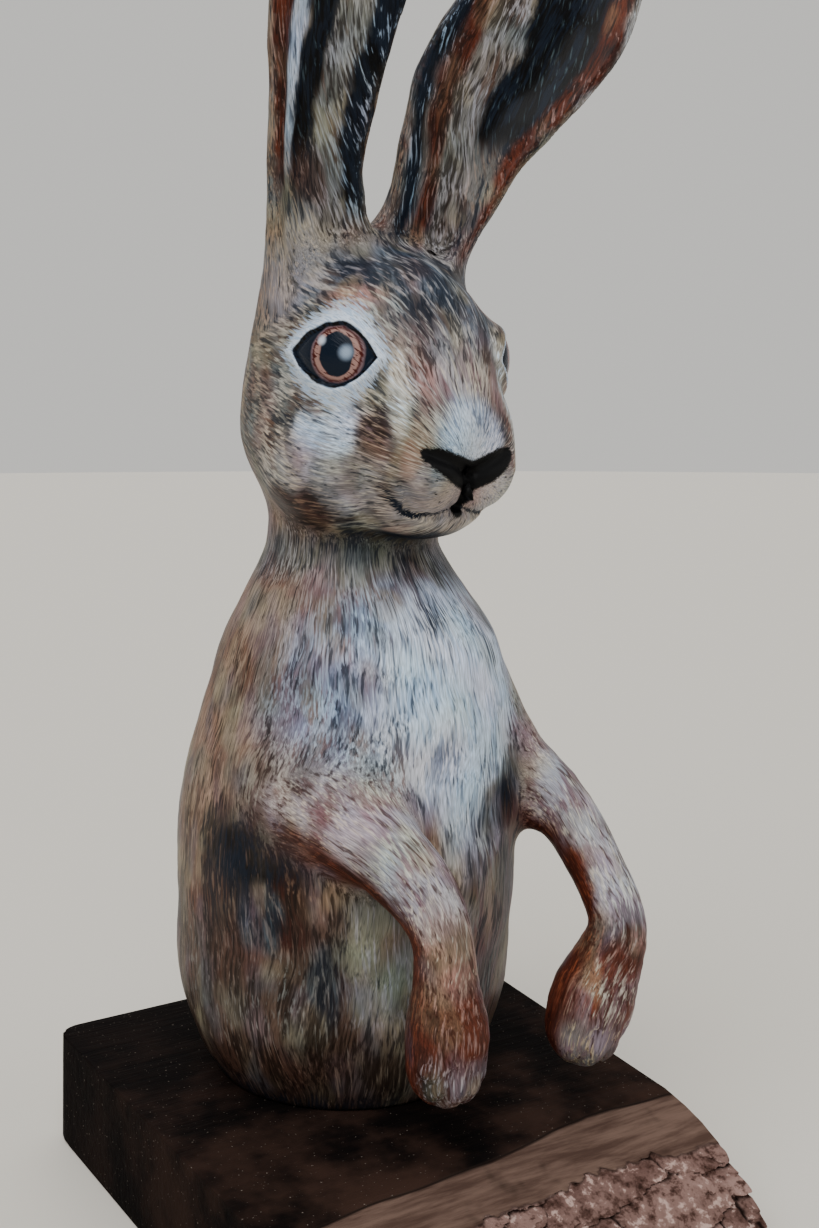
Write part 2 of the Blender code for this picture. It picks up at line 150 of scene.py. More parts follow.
@dataclass(frozen=True)
class Ball:
    """An ellipsoid, told by its centre and its radii to the side, ahead and up.

    Attributes:
        centre: Its middle.
        radii: Its half sizes.
        nod_deg: How far it nods forward.
    """

    centre: Triple
    radii: Triple
    nod_deg: float = 0.0

    def distance(self, points: Rows) -> Rows:
        """Returns how far each point is from the ball, less than 0 inside."""
        turn = np.array(Matrix.Rotation(math.radians(-self.nod_deg), 3, "X"))
        local = (points - self.centre) @ turn
        near = np.linalg.norm(local / self.radii, axis=1)
        slope = np.linalg.norm(local / np.square(self.radii), axis=1)
        return near * (near - 1) / np.maximum(slope, 1e-6)

    def add_to(self, bm: bmesh.types.BMesh) -> None:
        """Adds the ball to a mesh."""
        turn = Matrix.Rotation(math.radians(self.nod_deg), 3, "X")
        for vert in bmesh.ops.create_icosphere(bm, subdivisions=5, radius=1.0)["verts"]:
            vert.co = Vector(self.centre) + turn @ (vert.co * Vector(self.radii))


class Limb:
    """A round tapering limb along a smooth curve through joints (side, ahead, up, radius)."""

    def __init__(self, joints: Table, steps: int = 22) -> None:
        """Reads the curve.

        Args:
            joints: What the curve passes through.
            steps: How many rows are read from it.
        """
        self.row = smooth_path(joints, steps)
        self.low = (self.row[:, :3] - self.row[:, 3:]).min(0)
        self.high = (self.row[:, :3] + self.row[:, 3:]).max(0)

    def pieces(self, points: Rows) -> Iterator[tuple[Rows, Rows, Rows, Rows]]:
        """Yields, for each straight piece, the distances from its skin, the ways along it, the
        offsets from its middle and its direction."""
        for start, stop in zip(self.row[:-1], self.row[1:]):
            along = stop[:3] - start[:3]
            t = np.clip((points - start[:3]) @ along / (along @ along), 0, 1)
            offset = points - start[:3] - t[:, None] * along
            skin = np.linalg.norm(offset, axis=1) - start[3] - t * (stop[3] - start[3])
            yield skin, t, offset, along / np.linalg.norm(along)

    def distance(self, points: Rows) -> Rows:
        """Returns how far each point is from the limb's skin, less than 0 inside."""
        return measure_near(points, self.low, self.high, lambda near: np.min(
            [skin for skin, *_ in self.pieces(near)], axis=0))

    def follow(self, points: Rows) -> tuple[Rows, Rows, Rows]:
        """Finds each point's place along and around the limb.

        Returns:
            The way along the limb from 0 to 1, and how far the point is from the limb's middle
            to the side and to the rear or under side, all blended from piece to piece.
        """
        blend = 1.6
        nearest = np.min([skin for skin, *_ in self.pieces(points)], axis=0)
        total, share, to_side, to_rear = (np.zeros(len(points)) for _ in range(4))
        for index, (skin, t, offset, along) in enumerate(self.pieces(points)):
            weight = np.exp((nearest - skin) / blend)
            total += weight
            share += weight * (index + t) / (len(self.row) - 1)
            to_side += weight * offset[:, 0]
            to_rear += weight * (offset @ np.cross(along, (1.0, 0.0, 0.0)))
        return share / total, to_side / total, to_rear / total

    @property
    def length(self) -> float:
        """The limb's length along its curve."""
        return float(np.linalg.norm(np.diff(self.row[:, :3], axis=0), axis=1).sum())


class Torso:
    """The trunk: ovals stacked up an axis, told by (up, ahead, half width, half depth)."""

    def __init__(self, stations: Table) -> None:
        """Reads the ovals from a smooth curve through the stations."""
        self.row = smooth_path(stations, 90)

    def section(self, up: Rows) -> tuple[Rows, Rows, Rows]:
        """Returns the middle, half width and half depth of the section at each height."""
        middle, width, depth = (np.interp(up, self.row[:, 0], self.row[:, k]) for k in (1, 2, 3))
        return middle, width, depth

    def distance(self, points: Rows) -> Rows:
        """Returns how far each point is from the trunk, less than 0 inside."""
        side, ahead, up = points.T
        middle, half_width, half_depth = self.section(up)
        oval = np.hypot(side / half_width, (ahead - middle) / half_depth)
        sides = (oval - 1) * np.minimum(half_width, half_depth)
        ends = np.maximum(self.row[0, 0] - up, up - self.row[-1, 0])
        return np.maximum(sides, ends)


class Ear:
    """A long leaf with thick rims, hollow on its face, on an axis from root to tip."""

    HOLLOW = [(0, 6), (0.12, 11), (0.25, 12), (0.5, 8), (0.8, 4), (1, 1)]
    WALL = 2.2
    RIM = 1.5
    RIM_WIDTH = 3.6
    RIDGE = 1.4
    ROOT_FILL = 5.0
    RIDGE_WIDTH = 0.24
    ROOT_REACH = 0.12
    BOX_MARGIN = 32.0

    def __init__(self, root: Triple, tip: Triple, face_deg: float, backbend: float,
                 outline: Sequence[Triple], furrows: Sequence[Triple]) -> None:
        """Sets out the ear.

        Args:
            root: Where its axis leaves the head.
            tip: Where the axis ends.
            face_deg: How far its face turns to the hare's left.
            backbend: How far it bows towards its face.
            outline: Its half width, and how far its middle lies to the side, at each share
                of the way up.
            furrows: Lines pressed along its face, each (across, depth, width), where across
                and width are shares of the half width.
        """
        self.root = np.array(root, float)
        reach = np.array(tip, float) - self.root
        self.length = float(np.linalg.norm(reach))
        self.axis = reach / self.length
        face = np.array([math.sin(math.radians(face_deg)), math.cos(math.radians(face_deg)), 0])
        face -= self.axis * (face @ self.axis)
        self.face = face / np.linalg.norm(face)
        self.across = np.cross(self.face, self.axis)
        self.backbend, self.furrows = backbend, furrows
        self.outline = smooth_path(outline, 60)
        self.hollow = smooth_path(self.HOLLOW, 40)
        ends = np.array([self.root, self.root + reach])
        self.low, self.high = ends.min(0) - self.BOX_MARGIN, ends.max(0) + self.BOX_MARGIN

    def outline_at(self, share: Rows) -> tuple[Rows, Rows]:
        """Returns the half width, and the middle's place to the side, at each share."""
        half_width, middle = (np.interp(share, self.outline[:, 0], self.outline[:, column])
                              for column in (1, 2))
        return half_width, middle

    def lift(self, share: Rows, held: Rows) -> Rows:
        """Returns how far the leaf's middle sheet stands towards its face.

        Args:
            share: The way up the ear.
            held: The way across it, as a share of the half width.
        """
        cup = np.interp(share, self.hollow[:, 0], self.hollow[:, 1])
        return cup * held**2 - self.backbend * 4 * share * (1 - share)

    def follow(self, points: Rows) -> tuple[Rows, Rows, Rows, Rows]:
        """Finds each point's place on the leaf.

        Returns:
            The way along it from 0 to 1, the way across it in millimetres, its half width
            there, and how far the point is towards its face from the leaf's middle sheet.
        """
        local = points - self.root
        share = np.clip(local @ self.axis / self.length, 0, 1)
        half_width, middle = self.outline_at(share)
        across = local @ self.across - middle
        lift = self.lift(share, np.clip(across / half_width, -1, 1))
        return share, across, half_width, local @ self.face - lift

    def thickness(self, share: Rows, across: Rows, half_width: Rows) -> Rows:
        """Returns half the leaf's thickness: fuller at the root, with a bead along each rim.

        Args:
            share: The way up the ear.
            across: The way across it in millimetres.
            half_width: Its half width there.
        """
        bead = np.exp(-(((np.abs(across) - half_width + self.RIM_WIDTH) / self.RIM_WIDTH) ** 2))
        ridge = np.exp(-((across / (self.RIDGE_WIDTH * half_width)) ** 2)) * (1 - share)
        root = np.exp(-((share / self.ROOT_REACH) ** 2))
        return self.WALL + self.RIM * bead + self.RIDGE * ridge + self.ROOT_FILL * root

    def distance(self, points: Rows) -> Rows:
        """Returns how far each point is from the leaf, less than 0 inside."""
        return measure_near(points, self.low, self.high, self.leaf_distance)

    def leaf_distance(self, points: Rows) -> Rows:
        """Returns the distance to the leaf's curved sheet less half its thickness."""
        share, across, half_width, _ = self.follow(points)
        half = self.thickness(share, across, half_width)
        flat = np.maximum(half_width - half, 0.5)
        held = np.clip(across, -flat, flat)
        local = points - self.root
        through = local @ self.face - self.lift(share, held / half_width)
        beyond = np.maximum(np.abs(local @ self.axis - self.length / 2) - self.length / 2, 0)
        return np.sqrt((across - held) ** 2 + through**2 + beyond**2) - half

    def add_to(self, bm: bmesh.types.BMesh) -> None:
        """Adds the plain leaf to a mesh, as a ball drawn out along it."""
        for vert in bmesh.ops.create_icosphere(bm, subdivisions=6, radius=1.0)["verts"]:
            side, through, along = vert.co
            share = 0.5 + 0.5 * along
            ring = max(math.hypot(side, through), 1e-6)
            side, through = side / ring, through / ring
            closing = min(1.0, 4 * ring)
            half_width, middle = self.outline_at(share)
            half = self.thickness(share, side * half_width, half_width) * closing
            held = max(half_width - half, 0.5) * closing * max(-1.0, min(1.0, 1.3 * side))
            vert.co = (self.root + self.axis * share * self.length
                       + self.across * (middle + held + half * side)
                       + self.face * (self.lift(share, held / half_width) + half * through))

    def pressed(self, points: Rows) -> Rows:
        """Returns how deep the furrows of the ear's face are at each point."""
        share, across, half_width, through = self.follow(points)
        place = across / half_width + 0.05 * np.sin(share * 21) + 0.03 * np.sin(share * 47)
        inside = smooth_step(through, -0.5, 1.0) * smooth_step(share, 0.12, 0.22)
        inside *= smooth_step(share, 0.97, 0.85) * (np.abs(across) < half_width + 3)
        return inside * sum(depth * np.exp(-(((place - middle) / width) ** 2))
                            for middle, depth, width in self.furrows)


class Drawing:
    """A line drawn on the skin as seen along one direction."""

    DEPTH_SEEN = 12.0
    FAR_OFF = 12.0

    def __init__(self, origin: Triple, across: Sequence[float], upward: Sequence[float],
                 drawn: Table) -> None:
        """Sets out the line.

        Args:
            origin: The point that the line is measured from.
            across: The direction of its first number.
            upward: The direction of its second number.
            drawn: Its points, each (across, upward) or (across, upward, half width).
        """
        self.origin = np.array(origin, float)
        self.across, self.upward = np.array(across, float), np.array(upward, float)
        self.toward = np.cross(self.upward, self.across)
        rows = np.array(drawn, float)
        self.drawn = rows if rows.shape[1] == 3 else np.pad(rows, ((0, 0), (0, 1)))

    def gap(self, points: Rows) -> Rows:
        """Returns how far each point is from the line as seen, far off where it is hidden."""
        local = points - self.origin
        flat = np.stack([local @ self.across, local @ self.upward], axis=1)
        low = self.drawn[:, :2].min(0) - self.FAR_OFF
        high = self.drawn[:, :2].max(0) + self.FAR_OFF
        near = ((flat > low) & (flat < high)).all(1) & (local @ self.toward > -self.DEPTH_SEEN)
        result = np.full(len(points), self.FAR_OFF)
        best = np.full(int(near.sum()), self.FAR_OFF)
        for start, stop in zip(self.drawn[:-1], self.drawn[1:]):
            along = stop[:2] - start[:2]
            t = np.clip((flat[near] - start[:2]) @ along / (along @ along), 0, 1)
            off = np.linalg.norm(flat[near] - start[:2] - t[:, None] * along, axis=1)
            best = np.minimum(best, off - start[2] - t * (stop[2] - start[2]))
        result[near] = best
        return result


@dataclass(frozen=True)
class Mark:
    """A drawing worked into the clay, proud of the skin or sunk.

    Attributes:
        drawing: The line.
        height: How far it stands up, less than 0 where sunk.
        width: How broad it is from its middle.
    """

    drawing: Drawing
    height: float
    width: float

    def rise(self, points: Rows) -> Rows:
        """Returns how far the mark lifts the skin at each point."""
        return self.height * np.exp(-((self.drawing.gap(points) / self.width) ** 2))


@dataclass(frozen=True)
class Eye:
    """A bulging eye in an almond of lids, on the side of the head.

    Attributes:
        side: Where the eye's middle is to the side, less than 0 for the hare's right.
        ahead: Where it is ahead.
        up: Its height.
        outward_deg: How far it looks to the side.
        ball_radius: The eyeball's radius.
        tilt_deg: How far its front corner is raised.
        front_half: The almond's length ahead of its middle.
        back_half: Its length behind.
        half_height: Its height above or below its middle.
        ring: How wide the pale ring round it is, as a share of the full width.
    """

    side: float
    ahead: float = 38.5
    up: float = 224.4
    outward_deg: float = 57.0
    ball_radius: float = 15.0
    tilt_deg: float = -5.0
    front_half: float = 12.9
    back_half: float = 17.8
    half_height: float = 10.0
    ring: float = 1.0

    def axes(self) -> tuple[Rows, Rows, Rows]:
        """Returns the outward, backward and upward directions of the eye."""
        sign = math.copysign(1, self.side)
        angle = math.radians(self.outward_deg)
        outward = np.array([sign * math.sin(angle), math.cos(angle), 0.0])
        back = np.array([outward[1] * sign, -outward[0] * sign, 0.0])
        lean = math.radians(self.tilt_deg)
        up = np.array([0.0, 0.0, 1.0])
        return (outward, back * math.cos(lean) - up * math.sin(lean),
                up * math.cos(lean) + back * math.sin(lean))

    def ball(self) -> Ball:
        """Returns the eyeball."""
        centre = np.array([self.side, self.ahead, self.up]) - self.axes()[0] * self.ball_radius
        return Ball(tuple(centre), (self.ball_radius,) * 3)

    def almond(self, grown: float) -> Drawing:
        """Returns the outline of the lids, grown by a length all round."""
        outward, along, rise = self.axes()
        flip = -1 if np.cross(rise, along) @ outward < 0 else 1
        drawn = []
        for angle in np.linspace(0, 2 * math.pi, 33):
            reach = self.back_half if math.cos(angle) > 0 else self.front_half
            across = math.cos(angle)
            height = math.copysign(1 - across**2, math.sin(angle))
            drawn.append((flip * (reach + grown) * across, (self.half_height + grown) * height))
        return Drawing((self.side, self.ahead, self.up), flip * along, rise, drawn)

    def read(self, points: Rows) -> Rows:
        """Returns each point's place on the eye.

        Returns:
            Rows of (back, up, lid), where lid is 1 on the almond's edge and less inside.
        """
        outward, along, rise = self.axes()
        local = points - (self.side, self.ahead, self.up)
        back, up = local @ along, local @ rise
        reach = np.where(back > 0, self.back_half, self.front_half)
        lid = np.abs(up) / self.half_height + (back / reach) ** 2
        lid = np.where(lid > 1, 1 + (lid - 1) / self.ring, lid)
        lid[local @ outward < -14] = 9
        return np.stack([back, up, lid], axis=1)


class Region(Enum):
    """The parts of the hare that are painted on their own."""

    TRUNK = 0
    HEAD = 1
    EARS = 2
    FORELEGS = 3


class Pair:
    """Two parts of one kind, on the hare's right and left."""

    right: Any
    left: Any

    def distance(self, points: Rows) -> Rows:
        """Returns how far each point is from the nearer part's skin."""
        return np.minimum(self.right.distance(points), self.left.distance(points))

    def nearer(self, points: Rows) -> Rows:
        """Returns True where the right part is the nearer one."""
        return self.right.distance(points) < self.left.distance(points)

    def each(self, points: Rows) -> Iterator[tuple[Any, Rows]]:
        """Yields each part with True at the points nearest to it, where there are any."""
        near_right = self.nearer(points)
        for part, chosen in ((self.right, near_right), (self.left, ~near_right)):
            if chosen.any():
                yield part, chosen


@dataclass(frozen=True)
class Trunk:
    """The body from the foot to the neck, told in millimetres.

    Attributes:
        torso: The ovals that it is stacked from.
        added: The rump, haunches and shoulders, each with how far it is rounded in.
        stroke_radius: The radius of the round trunk on which the brush strokes are set out.
    """

    torso: Torso = Torso([
        (-14, 0, 37, 38), (-6, 0, 38.5, 39.5), (0, 0, 40.5, 41.5), (8, 0, 44.5, 45.5),
        (17, -0.5, 47, 48.5), (30, -1, 50, 51.5), (50, -1, 53, 55), (66, -1, 54, 56),
        (85, -0.5, 53.5, 55.5), (101, 1.5, 51, 53.5), (113, 4, 49, 51), (126, 6, 46.5, 48),
        (138, 6.5, 43, 44.5), (150, 4.5, 36, 38), (160, 3, 30, 32), (168, 2.5, 27, 29),
        (182, 3, 26.5, 28), (196, 4, 26, 28),
    ])
    added: Sequence[tuple[Ball, float]] = (
        (Ball((0, -24, 40), (40, 37, 40)), 12),
        (Ball((-29, -2, 30), (21, 37, 29)), 9),
        (Ball((29, -2, 30), (21, 37, 29)), 9),
        (Ball((-28, 20, 106), (19, 20, 23)), 9),
        (Ball((30, 20, 106), (19, 20, 23)), 9),
    )
    stroke_radius: float = 46.0

    def distance(self, points: Rows) -> Rows:
        """Returns how far each point is from the trunk's skin, with rump and shoulders."""
        total = self.torso.distance(points)
        for ball, reach in self.added:
            total = merge(total, ball.distance(points), reach)
        return total

    def strokes(self, points: Rows) -> Rows:
        """Returns each point's place among brush strokes that follow the trunk upwards."""
        side, ahead, up = points.T
        middle, width, depth = self.torso.section(up)
        return np.stack([side / width * self.stroke_radius,
                         (ahead - middle) / depth * self.stroke_radius, up], axis=1)


@dataclass(frozen=True)
class Forelegs(Pair):
    """The two forelegs, held out with their paws hanging, told in millimetres.

    Attributes:
        toe_gap: How far apart the grooves between the toes are.
        toe_depth: How deep they are.
        toe_width: How wide they are.
    """

    right: Limb = Limb([
        (-24, 10, 98, 16), (-33, 27, 94, 15), (-31, 45, 88.6, 12.8), (-27.2, 62.8, 79.9, 11.2),
        (-24.2, 73.2, 70.9, 9.8), (-23.1, 77.2, 61.4, 8.8), (-22.2, 77, 50.1, 9.6),
        (-21.2, 76.4, 38, 12), (-20.6, 75.4, 27.6, 11.6),
    ])
    left: Limb = Limb([
        (26, 14, 102, 17), (39, 29, 95, 14), (46.5, 48, 84.5, 10.3), (45, 64, 73, 9),
        (42.2, 76.5, 62.4, 8.8), (40.7, 81.3, 53.2, 9.2), (36.8, 80.1, 43.1, 11),
        (32.8, 78.5, 34, 12.8), (30.8, 77.2, 26, 11.8),
    ])
    toe_gap: float = 6.2
    toe_depth: float = 1.1
    toe_width: float = 1.2

    def toes(self) -> list[Mark]:
        """Returns the grooves between the toes, seen from ahead."""
        marks = []
        for limb in (self.right, self.left):
            side, ahead, up, radius = limb.row[-1]
            for step in (-1, 0, 1):
                middle = step * self.toe_gap
                drawn = [(middle * 0.9, -radius - 2), (middle, -radius * 0.4),
                         (middle * 0.86, radius * 0.35 - abs(step) * 2)]
                line = Drawing((side, ahead + radius, up), (1, 0, 0), (0, 0, 1), drawn)
                marks.append(Mark(line, -self.toe_depth, self.toe_width))
        return marks

    def strokes(self, points: Rows) -> Rows:
        """Returns each point's place among brush strokes that run down the forelegs."""
        result = np.zeros((len(points), 3))
        for limb, chosen in self.each(points):
            share, to_side, to_rear = limb.follow(points[chosen])
            result[chosen] = np.stack([to_side, to_rear, share * limb.length], axis=1)
        return result

    def around(self, points: Rows) -> tuple[Rows, Rows, Rows]:
        """Finds each point's place on the nearer foreleg.

        Returns:
            The way along it from 0 to 1, the angle about it in degrees, from 0 at the hare's
            left to 90 at the rear or under side, and True where the right foreleg is nearer.
        """
        share, angle = np.zeros(len(points)), np.zeros(len(points))
        for limb, chosen in self.each(points):
            share[chosen], to_side, to_rear = limb.follow(points[chosen])
            angle[chosen] = np.degrees(np.arctan2(to_rear, to_side))
        return share, angle, self.nearer(points)


def seen_from_ahead(drawn: Table) -> Drawing:
    """Returns a line on the face, drawn as (side, up) from straight ahead."""
    return Drawing((0, 50, 0), (1, 0, 0), (0, 0, 1), drawn)


@dataclass(frozen=True)
class Head:
    """The head without its ears, told in millimetres, with the lines worked into its face.

    Attributes:
        skull: The masses, each with how far it is rounded into those before it.
        eye_blend: How far the eyeballs are rounded in.
        hair_rise: How steeply the fur rises on its way back.
        fan_radius: How wide the strokes fan out from the nose.
    """

    skull: Sequence[tuple[Ball, float]] = (
        (Ball((0, 9, 222), (34.5, 44, 40)), 1.0),
        (Ball((0, -1, 201), (33, 34, 31)), 12),
        (Ball((0, 27, 220), (29.5, 27, 30), 14), 10),
        (Ball((0, 35, 206), (26.5, 25, 27), 10), 10),
        (Ball((-20.5, 19, 195), (17, 26, 23)), 9),
        (Ball((20.5, 19, 195), (17, 26, 23)), 9),
        (Ball((0, 42, 199), (22.5, 20, 17)), 10),
        (Ball((0, 27, 184), (24, 25, 14)), 8),
        (Ball((0, 41, 179), (15, 14, 9)), 8),
        (Ball((-12, 43, 200), (14, 16, 15)), 7),
        (Ball((12, 43, 200), (14, 16, 15)), 7),
        (Ball((-10, 50, 189), (13, 12.8, 11)), 7),
        (Ball((10, 50, 189), (13, 12.8, 11)), 7),
    )
    eyes: Sequence[Eye] = (Eye(-32), Eye(32, ahead=42, outward_deg=65, front_half=15, ring=0.1))
    eye_blend: float = 4.0
    nostrils: Table = ((-15, 196), (-9, 193.5), (0, 189.5), (9, 193.5),
                                           (15, 196))
    cleft: Table = ((0, 189.5), (0, 180))
    mouth: Table = ((-20.5, 187), (-15, 178.4), (-8.4, 176.6), (0, 180),
                                        (8.4, 176.6), (15, 178.4), (20.5, 187))
    nose_tip: Triple = (0, 60, 189)
    hair_rise: float = 0.3
    fan_radius: float = 34.0

    def distance(self, points: Rows) -> Rows:
        """Returns how far each point is from the head's skin."""
        total = None
        for ball, reach in self.skull:
            own = ball.distance(points)
            total = own if total is None else merge(total, own, reach)
        for eye in self.eyes:
            total = merge(total, eye.ball().distance(points), self.eye_blend)
        return total

    def marks(self) -> list[Mark]:
        """Returns the nostrils, the cleft, the mouth and the lids, worked into the clay."""
        lines = [
            Mark(seen_from_ahead(self.nostrils), -1.5, 1.9),
            Mark(seen_from_ahead(self.cleft), -1.7, 1.5),
            Mark(seen_from_ahead(self.mouth), -1.6, 1.3),
        ]
        for eye in self.eyes:
            lines.append(Mark(eye.almond(0.6), 1.1, 1.9))
            lines.append(Mark(eye.almond(-1.6), -0.55, 0.9))
        return lines

    def strokes(self, points: Rows) -> Rows:
        """Returns each point's place among strokes that fan back from the nose."""
        back = np.array([0, -1, self.hair_rise])
        back /= np.linalg.norm(back)
        local = points - self.nose_tip
        out = local - (local @ back)[:, None] * back
        spread = np.linalg.norm(out, axis=1)[:, None] + 2.0
        fan = out / spread * self.fan_radius
        rise = np.cross(back, (1.0, 0.0, 0.0))
        reach = np.linalg.norm(local, axis=1)
        return np.stack([fan[:, 0], fan @ rise, reach], axis=1)


@dataclass(frozen=True)
class Ears(Pair):
    """The two ears, told in millimetres.

    Attributes:
        blend: How far they are rounded into the head.
        stroke_lean: How far the strokes lean outwards on their way up.
    """

    right: Ear = Ear(
        (-24, 3, 232), (-30.8, 49, 416.8), -4, -3,
        [(0, 10, 1), (0.07, 14.4, 1), (0.14, 17, 0.4), (0.195, 17.6, -0.8), (0.24, 17, -2.4),
         (0.285, 16.6, -3.6), (0.39, 18.6, -3), (0.49, 21.6, -2.2), (0.59, 23.8, 0.6),
         (0.715, 22.6, 2.2), (0.84, 17.4, 2), (0.93, 12, 1), (0.98, 7.8, 0.3), (1, 5.3, 0)],
        [(-0.12, 1.5, 0.17), (-0.52, 0.6, 0.1), (0.74, 0.9, 0.13)])
    left: Ear = Ear(
        (6, 9, 230), (83, 44, 413), -28, -3,
        [(0, 9.4, -1), (0.07, 12.8, -1.6), (0.14, 15.2, -2), (0.22, 16.8, -2.2),
         (0.255, 18, -2.5), (0.34, 21, -3.2), (0.42, 25, -2), (0.52, 27.8, 2),
         (0.6, 27.2, 5.6), (0.7, 24.8, 7), (0.82, 19.6, 5.6), (0.92, 13.4, 3),
         (0.98, 8.4, 0.8), (1, 6.2, 0)],
        [(-0.78, 1.2, 0.11), (-0.5, 0.5, 0.08), (0.34, 1.2, 0.3)])
    blend: float = 13.0
    stroke_lean: float = 0.28

    def strokes(self, points: Rows) -> Rows:
        """Returns each point's place among strokes that run up the ears, leaning outwards."""
        result = np.zeros((len(points), 3))
        for ear, chosen in self.each(points):
            share, across, _, through = ear.follow(points[chosen])
            along = share * ear.length
            result[chosen] = np.stack([across + self.stroke_lean * along, through, along], axis=1)
        return result


class Paint(Enum):
    """The paints, the wood's tones and a painted shadow, as sRGB red, green and blue up to 255."""
    BONE_BLACK = (10, 10, 11)
    INK_BLUE = (20, 28, 40)
    DEEP_UMBER = (28, 20, 17)
    UMBER = (50, 36, 29)
    CHARCOAL = (34, 34, 37)
    SMOKE = (60, 60, 63)
    SLATE = (82, 92, 106)
    STORM = (116, 132, 157)
    PALE_BLUE = (168, 188, 212)
    CHALK = (210, 223, 238)
    ASH = (114, 113, 110)
    PEARL = (160, 159, 163)
    WARM_WHITE = (196, 189, 176)
    CREAM = (182, 170, 138)
    FAWN = (120, 94, 78)
    SAND = (152, 129, 110)
    TAUPE = (84, 67, 58)
    MAUVE = (116, 94, 99)
    ROSE = (154, 120, 112)
    LILAC = (148, 141, 164)
    BURNT_RUST = (56, 27, 20)
    RUST = (92, 44, 30)
    ORANGE_RUST = (124, 64, 40)
    SAGE = (128, 131, 114)
    TEAL_GREY = (70, 87, 94)
    OX_RED = (68, 27, 24)
    BLACK_STAIN = (19, 15, 14)
    GRAIN_BLACK = (11, 9, 9)
    RED_STAIN = (52, 37, 31)
    DUST = (128, 118, 108)
    INNER_BARK = (102, 82, 72)
    INNER_GRAIN = (70, 53, 46)
    INNER_SHADE = (40, 30, 25)
    # A painted shadow: the dark line along the smooth band's edges.
    INNER_PAINTED_SHADOW = (16, 12, 11)
    BARK_DARK = (92, 68, 62)
    BARK_PALE = (156, 127, 118)
    BARK_BROWN = (76, 55, 49)
    BARK_DEEP = (48, 34, 29)
    BARK_FLECK = (180, 152, 142)
    BARK_CRACK = (26, 18, 16)

    @property
    def linear(self) -> Rows:
        """The paint as linear light."""
        return linear_light(self.value)


@dataclass(frozen=True)
class Coat:
    """Paints laid one over another in strokes, and how much of the surface each covers.

    Attributes:
        under: The paint that lies under the rest.
        mid: The broad strokes.
        light: The fine light strokes on top.
        broad: The share that the broad strokes cover.
        fine: The share that the light strokes cover.
        dark: The share that fine dark strokes cover.
        shade: The paint of the dark strokes.
    """

    under: Paint
    mid: Paint
    light: Paint
    broad: float = 0.55
    fine: float = 0.35
    dark: float = 0.25
    shade: Paint = Paint.INK_BLUE

    def row(self) -> Rows:
        """Returns the coat as one row of numbers: four paints, then three shares."""
        return np.concatenate([
            self.under.linear, self.mid.linear, self.light.linear, self.shade.linear,
            (self.broad, self.fine, self.dark),
        ])


@dataclass(frozen=True)
class Dab:
    """A patch of a coat: an oval with a soft ragged edge.

    Attributes:
        coat: What it is painted with.
        centre: Its middle.
        radii: Its half sizes to the side, ahead and up.
        strength: How much of what lies under it is covered.
        both_sides: Whether the other side of the hare has it too.
    """

    coat: Coat
    centre: Triple
    radii: Triple
    strength: float = 1.0
    both_sides: bool = False

    def weight(self, points: Rows) -> Rows:
        """Returns how much of the dab lies at each point."""
        reach = np.linalg.norm((points - self.centre) / self.radii, axis=1)
        if self.both_sides:
            mirrored = (points * (-1, 1, 1) - self.centre) / self.radii
            reach = np.minimum(reach, np.linalg.norm(mirrored, axis=1))
        return self.strength * smooth_step(reach, 1.15, 0.6)


@dataclass(frozen=True)
class EarBand:
    """A band of a coat along the face of an ear.

    Attributes:
        coat: What it is painted with.
        across: Where it starts and ends across the ear, from -1 to 1 at its rims.
        along: Where it starts and ends from root to tip, from 0 to 1.
        drift: How far it moves towards the hare's right on its way up.
    """

    coat: Coat
    across: tuple[float, float]
    along: tuple[float, float]
    drift: float = 0.0

    def weight(self, across: Rows, along: Rows) -> Rows:
        """Returns how much of the band lies at each place on the ear."""
        across = across + self.drift * (along - 0.45)
        return window(across, self.across, 0.06) * window(along, self.along, 0.05)


@dataclass(frozen=True)
class LimbBand:
    """A band of a coat along a foreleg.

    Attributes:
        coat: What it is painted with.
        along: Where it starts and ends from shoulder to toes, from 0 to 1.
        angle: Its middle about the foreleg in degrees, 0 at the hare's left, 90 under.
        spread: How far it reaches from its middle in degrees.
        on_right: Whether it is on the right foreleg, the left, or None for both.
    """

    coat: Coat
    along: tuple[float, float]
    angle: float = 0.0
    spread: float = 360.0
    on_right: Optional[bool] = None

    def weight(self, along: Rows, angle: Rows, near_right: Rows) -> Rows:
        """Returns how much of the band lies at each place on the forelegs.

        Args:
            along: The way from shoulder to toes.
            angle: The angle about the foreleg in degrees.
            near_right: True where the right foreleg is the nearer one.
        """
        off = np.abs((angle - self.angle + 180) % 360 - 180)
        inside = smooth_step(off, self.spread + 14, self.spread - 14)
        inside = inside * window(along, self.along, 0.05)
        if self.on_right is not None:
            inside = inside * (near_right == self.on_right)
        return inside


